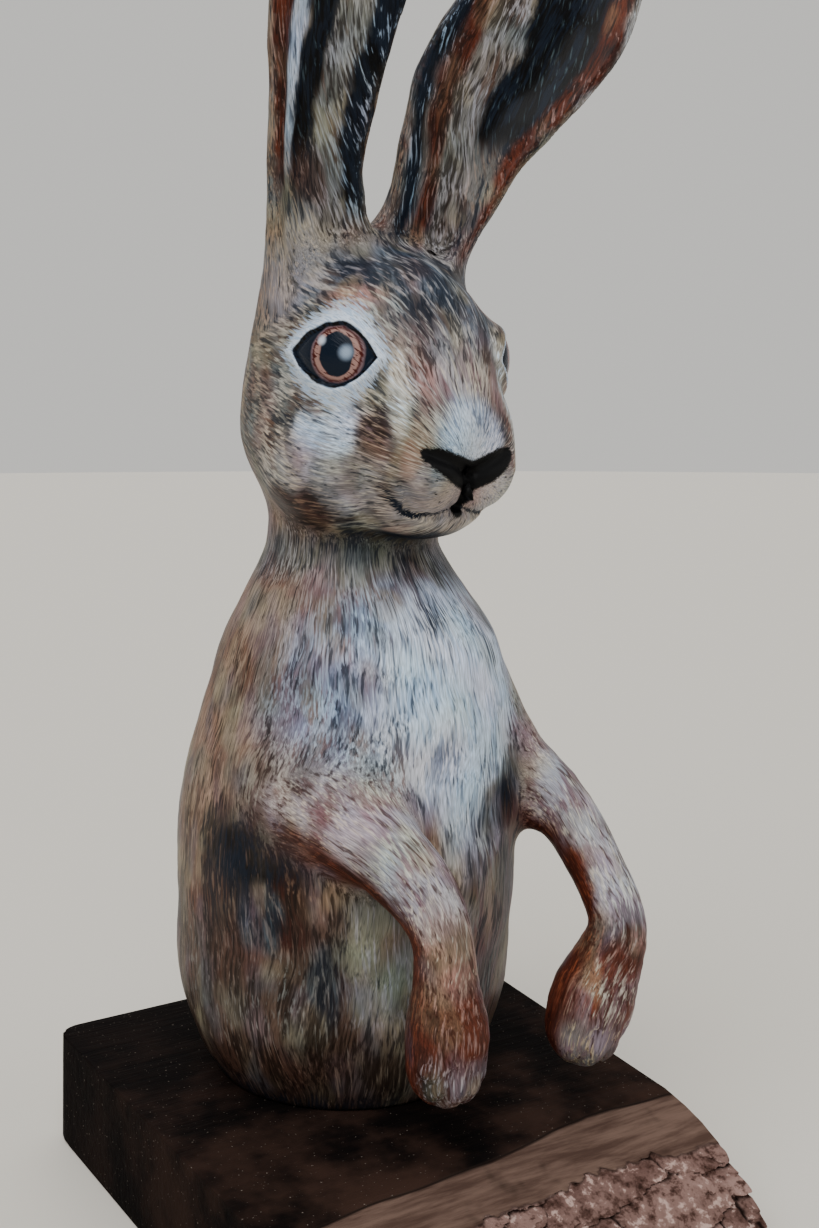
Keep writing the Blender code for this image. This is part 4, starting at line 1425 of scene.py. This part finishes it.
    def scatter(self, points: Rows, shares: Rows, rows: Rows) -> None:
        """Lays small islands of other paints over the coats, and thins and thickens strokes.

        Args:
            points: The vertices.
            shares: How much each vertex belongs to each region.
            rows: The coats at the vertices, which are changed.
        """
        drawn_out = points * (1, 1, 0.55)
        islands = [(region, *island) for region, several in self.islands for island in several]
        for index, (region, paint, strength) in enumerate(islands):
            lumps = ripple(drawn_out, self.island_size, 20 + index)[:, 0]
            lightness = rows[:, 3:6].mean(1)
            kept = smooth_step(lightness, 0.015, 0.09) * smooth_step(lightness, 0.55, 0.3)
            weight = strength * smooth_step(lumps, 0.08, 0.42) * shares[:, region.value] * kept
            for start, share in ((0, 0.5), (3, 1.0), (6, 0.6)):
                part = rows[:, start:start + 3]
                part += share * weight[:, None] * (paint.linear - part)
        density = ripple(drawn_out, self.density_size, 9)
        rows[:, 12:15] *= np.clip(1 + 0.9 * density, 0.4, 1.7)

    def drawn_lines(self, points: Rows) -> tuple[Rows, Rows]:
        """Returns the gap to the nearest painted line, and that line's paint."""
        folded = np.abs(points * (1, 0, 0)) + points * (0, 1, 1)
        gap = np.full(len(points), Drawing.FAR_OFF)
        paint = np.zeros((len(points), 3))
        for colour, drawn in self.lines:
            own = seen_from_ahead(drawn).gap(folded)
            nearer = own < gap
            gap[nearer] = own[nearer]
            paint[nearer] = colour.linear
        return gap, paint


def points_of(mesh: Mesh) -> Rows:
    """Returns the mesh's points as rows."""
    points = np.empty(len(mesh.vertices) * 3)
    mesh.vertices.foreach_get("co", points)
    return points.reshape(-1, 3)


def normals_of(mesh: Mesh) -> Rows:
    """Returns the mesh's vertex normals as rows."""
    normals = np.empty(len(mesh.vertices) * 3)
    mesh.vertex_normals.foreach_get("vector", normals)
    return normals.reshape(-1, 3)


def put_points(mesh: Mesh, points: Rows) -> None:
    """Moves the mesh's points to these rows."""
    mesh.vertices.foreach_set("co", points.ravel())
    mesh.update()


def neighbour_mean(points: Rows, ends: Rows) -> Rows:
    """Returns the middle of each point's neighbours.

    Args:
        points: The points.
        ends: The two ends of every edge, as two rows of places among the points.
    """
    here, there = np.concatenate([ends[0], ends[1]]), np.concatenate([ends[1], ends[0]])
    totals = [np.bincount(here, points[there, k], len(points)) for k in range(3)]
    return np.stack(totals, axis=1) / np.bincount(here, minlength=len(points))[:, None]


def evaluated_mesh(obj: bpy.types.Object) -> Mesh:
    """Returns a new mesh of the object as its modifiers leave it."""
    bpy.context.view_layer.update()
    graph = bpy.context.evaluated_depsgraph_get()
    return bpy.data.meshes.new_from_object(obj.evaluated_get(graph))


def link_piece(name: str, mesh: Mesh) -> bpy.types.Object:
    """Returns a new object in the scene.

    Args:
        name: What it is called.
        mesh: The mesh that it holds.
    """
    piece = bpy.data.objects.new(name, mesh)
    bpy.context.scene.collection.objects.link(piece)
    return piece


def write_attribute(mesh: Mesh, name: str, kind: str, rows: Rows) -> None:
    """Stores a number, vector or colour for each vertex.

    Args:
        mesh: The mesh that gets it.
        name: The attribute's name.
        kind: FLOAT, FLOAT_VECTOR or FLOAT_COLOR.
        rows: What is stored.
    """
    attribute = mesh.attributes.new(name, kind, "POINT")
    key = {"FLOAT": "value", "FLOAT_VECTOR": "vector", "FLOAT_COLOR": "color"}[kind]
    if kind == "FLOAT_COLOR":
        rows = np.hstack([np.clip(rows, 0, 1), np.ones((len(rows), 1))])
    attribute.data.foreach_set(key, rows.astype(np.float32).ravel())


@dataclass(frozen=True)
class HareFigure:
    """The hare: one piece of clay, modelled in its own millimetres.

    Attributes:
        right_of_edge: How far its axis is from the board's left edge, in metres.
        ahead_of_back: How far it is from the board's back edge, in metres.
        turn_deg: How far it faces to its left.
        ears_from: The height above which the ears are made anew.
        voxel: How fine its skin is.
        limb_blend: How far the forelegs are rounded into the trunk.
        neck_blend: How far the head is rounded into the trunk.
        lump: How far the clay is uneven.
        grain: How far it is finely uneven.
        sway: How far the strokes sway, over a length of sway_size.
        region_softness: How softly one region's paint passes into the next.
    """

    trunk: Trunk = Trunk()
    head: Head = Head()
    ears: Ears = Ears()
    forelegs: Forelegs = Forelegs()
    scheme: PaintScheme = PaintScheme()
    finish: PaintedClay = PaintedClay()
    right_of_edge: float = 0.0738
    ahead_of_back: float = 0.0713
    turn_deg: float = 5.5
    millimetre: float = 0.001
    ears_from: float = 244.0
    voxel: float = 1.45
    limb_blend: float = 13.0
    neck_blend: float = 6.0
    dewclaw: Ball = Ball((-30.2, 79.5, 29.5), (3.2, 3.6, 3.0))
    dewclaw_blend: float = 1.5
    lump: float = 0.45
    lump_size: float = 13.0
    grain: float = 0.12
    grain_size: float = 4.5
    stroke_width: float = 1.1
    stroke_length: float = 14.0
    face_stroke_length: float = 9.0
    sway: float = 2.2
    sway_size: float = 22.0
    region_softness: float = 2.2

    def placing(self) -> Matrix:
        """Returns what takes the hare's millimetres to the frame's metres."""
        low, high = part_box("board")
        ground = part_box("hare")[0].z
        middle = Vector((low.x + self.right_of_edge, high.y - self.ahead_of_back, ground))
        size = self.millimetre
        turn = Matrix.Rotation(math.radians(self.turn_deg), 4, "Z")
        return Matrix.Translation(middle) @ turn @ Matrix.Diagonal((size, -size, size, 1))

    def form(self, points: Rows) -> Rows:
        """Returns how far each point is from the plain form's skin, less than 0 inside."""
        head = self.head.distance(points)
        for ear in (self.ears.right, self.ears.left):
            head = merge(head, ear.distance(points), self.ears.blend)
        body = self.trunk.distance(points)
        for limb in (self.forelegs.right, self.forelegs.left):
            body = merge(body, limb.distance(points), self.limb_blend)
        body = merge(body, self.dewclaw.distance(points), self.dewclaw_blend)
        return merge(body, head, self.neck_blend)

    def form_on_foot(self, points: Rows) -> Rows:
        """Returns the plain form's distance, cut flat at the foot."""
        return np.maximum(self.form(points), -points[:, 2])

    def carved(self, points: Rows) -> Rows:
        """Returns the distance from the skin with its marks, cut flat at the foot."""
        figure = self.form(points)
        for mark in self.head.marks() + self.forelegs.toes():
            figure -= mark.rise(points)
        for ear in (self.ears.right, self.ears.left):
            figure += ear.pressed(points)
        return np.maximum(figure, -points[:, 2])

    def settle(self, mesh: Mesh, distance: Field, passes: int, ease: float) -> None:
        """Moves each point of the mesh onto the form, keeping the points evenly spread.

        Args:
            mesh: The mesh, in millimetres.
            distance: The form.
            passes: How many times to smooth and settle.
            ease: How far each smoothing goes.
        """
        points = points_of(mesh)
        ends = np.empty(len(mesh.edges) * 2, int)
        mesh.edges.foreach_get("vertices", ends)
        ends = ends.reshape(-1, 2).T
        for step in range(passes):
            if step:
                points += ease * (neighbour_mean(points, ends) - points)
            for _ in range(2):
                put_points(mesh, points)
                off = np.clip(distance(points), -1.2, 1.2)
                points -= normals_of(mesh) * off[:, None]
        put_points(mesh, points)

    def remade(self, mesh: Mesh) -> Mesh:
        """Returns the mesh made anew of even faces."""
        rough = link_piece("hare_rough", mesh)
        coat = rough.modifiers.new("Skin", "REMESH")
        coat.mode = "VOXEL"
        coat.voxel_size = self.voxel
        mesh = evaluated_mesh(rough)
        bpy.data.objects.remove(rough)
        return mesh

    def skin(self) -> Mesh:
        """Returns the settled mesh, finer over the face, in millimetres."""
        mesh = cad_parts["hare"].data.copy()
        bm = bmesh.new()
        bm.from_mesh(mesh)
        bmesh.ops.remove_doubles(bm, verts=bm.verts, dist=1e-6)
        bmesh.ops.transform(bm, matrix=self.placing().inverted(), verts=bm.verts)
        bmesh.ops.reverse_faces(bm, faces=bm.faces)
        whole = [*bm.verts, *bm.edges, *bm.faces]
        bmesh.ops.bisect_plane(bm, geom=whole, plane_co=(0, 0, self.ears_from),
                               plane_no=(0, 0, 1), clear_outer=True)
        bmesh.ops.holes_fill(bm, edges=[edge for edge in bm.edges if edge.is_boundary])
        for ball, _ in self.head.skull[:3]:
            ball.add_to(bm)
        for ear in (self.ears.right, self.ears.left):
            ear.add_to(bm)
        bm.to_mesh(mesh)
        bm.free()
        mesh = self.remade(mesh)
        self.settle(mesh, self.form_on_foot, 4, 0.5)
        self.refine_face(mesh)
        self.settle(mesh, self.carved, 2, 0.25)
        return mesh

    def refine_face(self, mesh: Mesh) -> None:
        """Divides the faces about the eyes, the nose and the mouth."""
        bm = bmesh.new()
        bm.from_mesh(mesh)

        def fine(vert: bmesh.types.BMVert) -> bool:
            """Returns whether the vertex is near an eye, or on the front of the muzzle."""
            side, ahead, up = vert.co
            eye = math.hypot(ahead - 36, (up - 224.4) * 1.25) < 24 and abs(side) > 18
            nose = ahead > 50 and 172 < up < 203
            return eye or nose

        chosen = {vert for vert in bm.verts if fine(vert)}
        edges = [edge for edge in bm.edges if edge.verts[0] in chosen and edge.verts[1] in chosen]
        bmesh.ops.subdivide_edges(bm, edges=edges, cuts=1, use_grid_fill=True)
        bm.to_mesh(mesh)
        bm.free()

    def roughen(self, mesh: Mesh) -> None:
        """Makes the clay a little uneven, as hands leave it, but not at the foot or the eyes."""
        points = points_of(mesh)
        lumps = ripple(points, self.lump_size, 5)[:, 0] - 0.6
        fine = ripple(points, self.grain_size, 6)[:, 0] - 0.5
        lids = np.min([eye.read(points)[:, 2] for eye in self.head.eyes], axis=0)
        calm = smooth_step(points[:, 2], 1.0, 6.0) * smooth_step(lids, 0.9, 1.5)
        height = (self.lump * lumps + self.grain * fine) * calm
        put_points(mesh, points + normals_of(mesh) * height[:, None])

    def region_shares(self, points: Rows) -> Rows:
        """Returns how much each point belongs to each region, in the order of Region."""
        gaps = np.stack([
            self.trunk.distance(points), self.head.distance(points),
            self.ears.distance(points), self.forelegs.distance(points),
        ], axis=1)
        weight = np.exp(-np.maximum(gaps, -2) / self.region_softness)
        return weight / weight.sum(1, keepdims=True)

    def prepare_paint(self, mesh: Mesh) -> None:
        """Stores the coats, the strokes' run, the drawn lines and the eyes in the mesh."""
        points = points_of(mesh)
        shares = self.region_shares(points)
        rows = self.scheme.coats(self, points, shares)
        for part, name in enumerate(("coat_under", "coat_mid", "coat_light", "coat_shade")):
            write_attribute(mesh, name, "FLOAT_COLOR", rows[:, 3 * part:3 * part + 3])
        write_attribute(mesh, "cover", "FLOAT_VECTOR", rows[:, 12:15])
        bend = ripple(points, self.sway_size, 7) * self.sway
        on_ear = shares[:, [Region.EARS.value]] > shares[:, [Region.TRUNK.value]]
        first = np.where(on_ear, self.ears.strokes(points), self.trunk.strokes(points))
        on_leg = shares[:, [Region.FORELEGS.value]] > shares[:, [Region.HEAD.value]]
        second = np.where(on_leg, self.forelegs.strokes(points), self.head.strokes(points))
        long = (self.stroke_width, self.stroke_width, self.stroke_length)
        short = (self.stroke_width, self.stroke_width, self.face_stroke_length)
        write_attribute(mesh, "fur_a", "FLOAT_VECTOR", (first + bend) / long)
        write_attribute(mesh, "fur_b", "FLOAT_VECTOR", (second + bend * 0.6) / short)
        share = shares[:, Region.HEAD.value] + shares[:, Region.FORELEGS.value]
        write_attribute(mesh, "fur_mix", "FLOAT", smooth_step(share, 0.25, 0.75))
        gap, paint = self.scheme.drawn_lines(points)
        write_attribute(mesh, "line_gap", "FLOAT", gap)
        write_attribute(mesh, "line_paint", "FLOAT_COLOR", paint)
        readings = np.stack([eye.read(points) for eye in self.head.eyes])
        nearer = readings[:, :, 2].argmin(0)
        write_attribute(mesh, "eye", "FLOAT_VECTOR", readings[nearer, np.arange(len(points))])

    def build(self) -> bpy.types.Object:
        """Returns the finished hare, in place in the frame."""
        mesh = self.skin()
        self.roughen(mesh)
        self.prepare_paint(mesh)
        mesh.transform(self.placing())
        mesh.flip_normals()
        low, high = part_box("hare")
        put_points(mesh, np.clip(points_of(mesh), low, high))
        mesh.shade_smooth()
        mesh.materials.clear()
        mesh.materials.append(self.finish.material())
        piece = link_piece("hare_figure", mesh)
        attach(piece, "root")
        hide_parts("hare")
        return piece


@dataclass(frozen=True)
class StainedWood:
    """Dark stained sawn wood, with a smooth band under the bark and flaking bark in front.

    Attributes:
        roughness: The wood's roughness.
        shine: How strongly it mirrors.
        grain_length: How far the grain is drawn out along the board.
        grain_scale: How fine the grain is.
        bark_roughness: The bark's roughness.
        relief: How high the grain and the crumbs stand, in metres.
    """

    roughness: float = 0.65
    shine: float = 0.01
    grain_length: float = 9.0
    grain_scale: float = 260.0
    bark_roughness: float = 0.85
    relief: float = 0.0008

    def material(self) -> bpy.types.Material:
        """Returns the finish."""
        canvas = Canvas("stained_wood")
        place = canvas.place()
        along = canvas.add("Mapping", {0: place, "Scale": (1 / self.grain_length, 1, 1)})
        grain = canvas.noise(along.outputs[0], self.grain_scale, 5.0, 0.66)
        cloud = canvas.noise(place, 30.0, 4.0, 0.62)
        bark, band, height, shade, front = (
            canvas.attribute(name) for name in ("bark", "band", "plate", "shade", "front"))
        wood = canvas.mix(canvas.fall(grain, 0.3, 0.7), Paint.BLACK_STAIN, Paint.GRAIN_BLACK)
        red = canvas.math("MULTIPLY", front, canvas.fall(cloud, 0.66, 0.4))
        wood = canvas.mix(red, wood, Paint.RED_STAIN)
        dust = canvas.noise(place, 1300.0, 1.0, 0.5)
        specks = canvas.math("MULTIPLY", canvas.fall(dust, 0.22, 0.27), 0.7)
        wood = canvas.mix(specks, wood, Paint.DUST)
        inner = canvas.mix(canvas.fall(grain, 0.36, 0.66), Paint.INNER_BARK, Paint.INNER_GRAIN)
        inner = canvas.mix(canvas.fall(cloud, 0.3, 0.46), inner, Paint.INNER_SHADE)
        crumb = canvas.noise(place, 240.0, 6.0, 0.68)
        plates = canvas.mix(shade, Paint.BARK_DARK, Paint.BARK_PALE)
        rougher = canvas.math("MULTIPLY_ADD", shade, -0.08, 0.0)
        for low, high, paint in ((0.42, 0.54, Paint.BARK_BROWN), (0.34, 0.43, Paint.BARK_DEEP)):
            worn = canvas.fall(crumb, canvas.math("ADD", rougher, low),
                               canvas.math("ADD", rougher, high))
            plates = canvas.mix(worn, plates, paint)
        plates = canvas.mix(canvas.fall(crumb, 0.64, 0.55), plates, Paint.BARK_FLECK)
        plates = canvas.mix(canvas.fall(height, 0.04, 0.3), plates, Paint.BARK_CRACK)
        # Painted shadow: a dark line along both edges of the smooth band, where the top's edge and
        # the bark overhang it.
        edge = canvas.math("MULTIPLY", band, canvas.math("SUBTRACT", 1.0, band))
        colour = canvas.mix(band, wood, inner)
        colour = canvas.mix(canvas.math("MULTIPLY", edge, 3.4), colour, Paint.INNER_PAINTED_SHADOW)
        colour = canvas.mix(bark, colour, plates)
        relief = canvas.math("MULTIPLY_ADD", crumb, canvas.math("MULTIPLY", bark, 3.0), grain)
        return canvas.dressed(
            Base_Color=colour, Roughness=canvas.between(bark, self.roughness, self.bark_roughness),
            Specular_IOR_Level=self.shine, Normal=canvas.bump(relief, 0.7, self.relief))


@dataclass
class BoardSlab:
    """The slab: sawn on three sides, with a sloping bark edge along its front.

    Attributes:
        top_edge: The top's front edge, as (across, ahead) from the hare's axis, in metres.
        slope: The bark's share of the way out at each share of the way down.
        foot_y: Where the bark's foot is, ahead of the hare's axis, in metres.
        bark_from: The share of the way down at which the bark starts, over a share bark_edge.
        band_from: Where the smooth band above it starts, over a share band_edge.
        columns: How many rows of faces run across the board, with files deep and rows high.
        crowding: How much closer the rows are near the top, where the slope is flat.
        plate_size: How far apart the bark's plates are, and how far they stand out.
        chip_size: The same for the chips on them.
    """

    hare: HareFigure
    finish: StainedWood = StainedWood()
    back_left: tuple[float, float] = (-0.0735, 0.0690)
    back_right: tuple[float, float] = (0.0845, 0.0713)
    corner_radius: float = 0.008
    arris: float = 0.0006
    sawn_from: float = -0.07
    top_edge: Sequence[tuple[float, float]] = (
        (-0.0738, -0.0842), (-0.0307, -0.0809), (-0.0018, -0.0794), (0.0379, -0.0722),
        (0.0695, -0.0746))
    slope: Sequence[tuple[float, float]] = (
        (0, 0), (0.05, 0.17), (0.12, 0.33), (0.25, 0.54), (0.45, 0.73), (0.65, 0.9),
        (0.85, 0.985), (1, 1))
    foot_y: float = -0.1235
    bark_from: float = 0.17
    bark_edge: float = 0.02
    band_from: float = 0.012
    band_edge: float = 0.008
    columns: int = 230
    files: int = 46
    rows: int = 76
    crowding: float = 1.7
    plate_size: float = 0.018
    plate_stretch: float = 1.8
    plate_relief: float = 0.0036
    chip_size: float = 0.0085
    chip_relief: float = 0.0014
    crumb_relief: float = 0.0007

    def build(self) -> bpy.types.Object:
        """Returns the finished board, in place in the frame."""
        low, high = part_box("board")
        thickness = high.z - low.z
        bm = bmesh.new()
        bmesh.ops.create_cube(bm, size=1, matrix=Matrix.Translation((0.5, 0.5, 0.5)))
        for axis, cuts in ((0, self.columns - 1), (1, self.files - 1), (2, self.rows - 1)):
            edges = [edge for edge in bm.edges
                     if abs(edge.verts[0].co[axis] - edge.verts[1].co[axis]) > 0.5]
            bmesh.ops.subdivide_edges(bm, edges=edges, cuts=cuts, use_grid_fill=True)
        layers = {name: bm.verts.layers.float.new(name)
                  for name in ("bark", "band", "plate", "shade", "front")}
        for vert in bm.verts:
            self.place(vert, layers, thickness)
        sawn = [edge for edge in bm.edges if edge.calc_face_angle(0) > 1
                and edge.verts[0].co.y > self.sawn_from]
        bmesh.ops.bevel(bm, geom=sawn, offset=self.arris, segments=2, profile=0.5,
                        affect="EDGES", material=-1)
        bmesh.ops.recalc_face_normals(bm, faces=bm.faces)
        mesh = bpy.data.meshes.new("board")
        bm.to_mesh(mesh)
        bm.free()
        axis = Vector((low.x + self.hare.right_of_edge, high.y - self.hare.ahead_of_back, low.z))
        mesh.transform(Matrix.Translation(axis))
        put_points(mesh, np.clip(points_of(mesh), low, high))
        mesh.shade_smooth()
        mesh.set_sharp_from_angle(angle=math.radians(40))
        mesh.materials.append(self.finish.material())
        piece = link_piece("board_slab", mesh)
        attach(piece, "root")
        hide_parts("board")
        return piece

    def place(self, vert: bmesh.types.BMVert, layers: dict, thickness: float) -> None:
        """Moves a vertex of the unit block to its place on the board, and marks its finish.

        Args:
            vert: The vertex, at its shares across, back and up.
            layers: The vertex layers of the finish.
            thickness: The board's thickness.
        """
        share_across, share_back, share_up = vert.co
        front_left, front_right = self.top_edge[0], self.top_edge[-1]
        left = front_left[0] + (self.back_left[0] - front_left[0]) * share_back
        right = front_right[0] + (self.back_right[0] - front_right[0]) * share_back
        across = left + (right - left) * share_across
        xs, ys = zip(*self.top_edge)
        ahead = front_left[0] + (front_right[0] - front_left[0]) * share_across
        front = float(np.interp(ahead, xs, ys))
        back = self.back_left[1] + (self.back_right[1] - self.back_left[1]) * share_across
        drop = (1 - share_up) ** self.crowding
        out, bark, band, plate, shade = self.bark(across, front, drop, thickness)
        line = front - out
        vert.co = (across, line + (back - line) * share_back, (1 - drop) * thickness)
        inside = Vector(self.back_left) + Vector((1, -1)) * self.corner_radius
        off = vert.co.xy - inside
        if off.x < 0 < off.y:
            off *= max(-off.x, off.y) / off.length
            vert.co.xy = inside + off
        vert[layers["front"]] = 1 - share_back
        if share_back == 0:
            vert[layers["bark"]], vert[layers["band"]] = bark, band
            vert[layers["plate"]], vert[layers["shade"]] = plate, shade

    @staticmethod
    def share(value: float) -> float:
        """Returns a number held between 0 and 1."""
        return min(1, max(0, value))

    def bark(self, across: float, front: float, drop: float, thickness: float
             ) -> tuple[float, float, float, float, float]:
        """Works out the front edge at one place.

        Args:
            across: The place across the board.
            front: Where the top ends there.
            drop: The share of the way down.
            thickness: The board's thickness.

        Returns:
            How far the edge stands out from the top, and the shares of bark, of smooth band,
            of a bark plate's height and of its paleness.
        """
        shares, outs = zip(*self.slope)
        reach = float(np.interp(drop, shares, outs)) * (front - self.foot_y)
        place = Vector((across, reach + drop * thickness, 0))
        wander = noise.noise(Vector((across * 60, 3.0, 0)))
        fray = noise.noise(Vector((across * 330, 7.0, 0)))
        starts = self.bark_from + 0.05 * wander + 0.02 * fray + 0.5 * max(0, across - 0.01)
        bark = self.share((drop - starts) / self.bark_edge)
        band = self.share((drop - self.band_from - 0.006 * wander) / self.band_edge) * (1 - bark)
        warp = noise.noise_vector(place * 70) * 0.004 + noise.noise_vector(place * 260) * 0.0016
        wide = place + warp
        wide.x /= self.plate_stretch
        gaps, sites = noise.voronoi(wide / self.plate_size)
        level = noise.cell(sites[0] * 37) * 0.5 + 0.5
        edge = min(1, (gaps[1] - gaps[0]) * 10 + 0.5 * max(0, noise.noise(place * 90)))
        plate = edge * (0.5 + 0.5 * level)
        chip_gaps, chips = noise.voronoi((place + warp * 0.6) / self.chip_size)
        chip = noise.cell(chips[0] * 53) * 0.5 + 0.5
        crumb = noise.fractal(place * 300, 0.8, 2.0, 4)
        lift = (self.plate_relief * (plate - 0.8) + self.chip_relief * (chip - 0.8)
                + self.crumb_relief * min(0.6, crumb))
        soft = 0.0005 * noise.noise(place * 180) * min(1, drop * 8)
        shade = self.share(0.55 * level + 0.35 * chip + 0.3 * noise.noise(place * 60))
        return reach + bark * lift + soft, bark, band, plate, shade


@dataclass
class Studio:
    """A pale floor, soft light and the camera at the photograph's viewing angle.

    Attributes:
        camera_from_axis: The camera's place to the side and back of the hare's axis, in metres.
        camera_over_board: Its height over the board's top.
        looks_along: The direction that it looks in, which is level.
        focal_pixels: Its focal length, in the photograph's pixels.
        optical_axis_row: The photograph's row that is level with the camera.
        sensor: The sensor's width in millimetres.
    """

    hare: HareFigure
    camera_from_axis: tuple[float, float] = (-0.2446, -0.4213)
    camera_over_board: float = 0.207
    looks_along: Triple = (0.537, 0.843, 0.0)
    focal_pixels: float = 1500.0
    optical_axis_row: float = 415.0
    sensor: float = 36.0

    def place_camera(self) -> None:
        """Puts the camera where the photograph was taken from."""
        low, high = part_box("board")
        data = bpy.data.cameras.new("Camera")
        data.sensor_width = self.sensor
        data.lens = self.focal_pixels / PHOTO_HEIGHT * self.sensor
        data.shift_y = -(PHOTO_HEIGHT / 2 - self.optical_axis_row) / PHOTO_HEIGHT
        data.clip_start = 0.01
        camera = bpy.data.objects.new("Camera", data)
        bpy.context.scene.collection.objects.link(camera)
        camera.location = (
            low.x + self.hare.right_of_edge + self.camera_from_axis[0],
            high.y - self.hare.ahead_of_back + self.camera_from_axis[1],
            high.z + self.camera_over_board,
        )
        camera.rotation_euler = Vector(self.looks_along).to_track_quat("-Z", "Y").to_euler()
        bpy.context.scene.camera = camera

    def add_light(self, name: str, source: Triple, spread_deg: float, strength: float) -> None:
        """Adds an even soft light from far off.

        Args:
            name: The light's name.
            source: The direction that it comes from.
            spread_deg: How wide it looks, which softens its shadows.
            strength: How strong it is.
        """
        data = bpy.data.lights.new(name, "SUN")
        data.angle, data.energy = math.radians(spread_deg), strength
        light = bpy.data.objects.new(name, data)
        bpy.context.scene.collection.objects.link(light)
        light.rotation_euler = (-Vector(source)).to_track_quat("-Z", "Y").to_euler()

    def build(self) -> None:
        """Sets the floor, the lights, the world and the camera."""
        bm = bmesh.new()
        bmesh.ops.create_circle(bm, cap_ends=True, radius=6.0, segments=64)
        mesh = bpy.data.meshes.new("floor")
        bm.to_mesh(mesh)
        bm.free()
        colour = (0.62, 0.585, 0.52, 1)
        mesh.materials.append(Canvas("pale_floor").dressed(Base_Color=colour, Roughness=0.7))
        floor = link_piece("floor", mesh)
        self.set_world()
        self.add_light("key", (-0.8, -0.7, 1.35), 55.0, 3.1)
        self.add_light("fill", (0.8, -1.0, 0.6), 50.0, 0.7)
        self.add_light("top", (0.1, 0.3, 1.0), 60.0, 0.9)
        self.place_camera()

    def set_world(self) -> None:
        """Lights the room softly: pale beyond the hare, dimmer on the camera's side."""
        world = bpy.data.worlds.new("Studio")
        world.use_nodes = True
        tree = world.node_tree
        direction = tree.nodes.new("ShaderNodeTexCoord")
        facing = tree.nodes.new("ShaderNodeVectorMath")
        facing.operation = "DOT_PRODUCT"
        facing.inputs[1].default_value = self.looks_along
        ramp = tree.nodes.new("ShaderNodeValToRGB")
        first, last = ramp.color_ramp.elements
        first.position, first.color = 0.0, (0.17, 0.17, 0.17, 1)
        last.position, last.color = 0.75, (0.77, 0.76, 0.73, 1)
        tree.links.new(direction.outputs["Generated"], facing.inputs[0])
        tree.links.new(facing.outputs["Value"], ramp.inputs[0])
        tree.links.new(ramp.outputs[0], tree.nodes["Background"].inputs[0])
        tree.nodes["Background"].inputs[1].default_value = 0.9
        bpy.context.scene.world = world


def main() -> None:
    """Builds the pieces in order and reports each one."""
    logging.basicConfig(level=logging.INFO, format="%(message)s")
    noise.seed_set(NOISE_SEED)
    hare = HareFigure()
    figure = hare.build()
    LOG.info("hare: %d faces", len(figure.data.polygons))
    board = BoardSlab(hare).build()
    LOG.info("board: %d faces", len(board.data.polygons))
    Studio(hare).build()


if __name__ == "__main__":
    main()
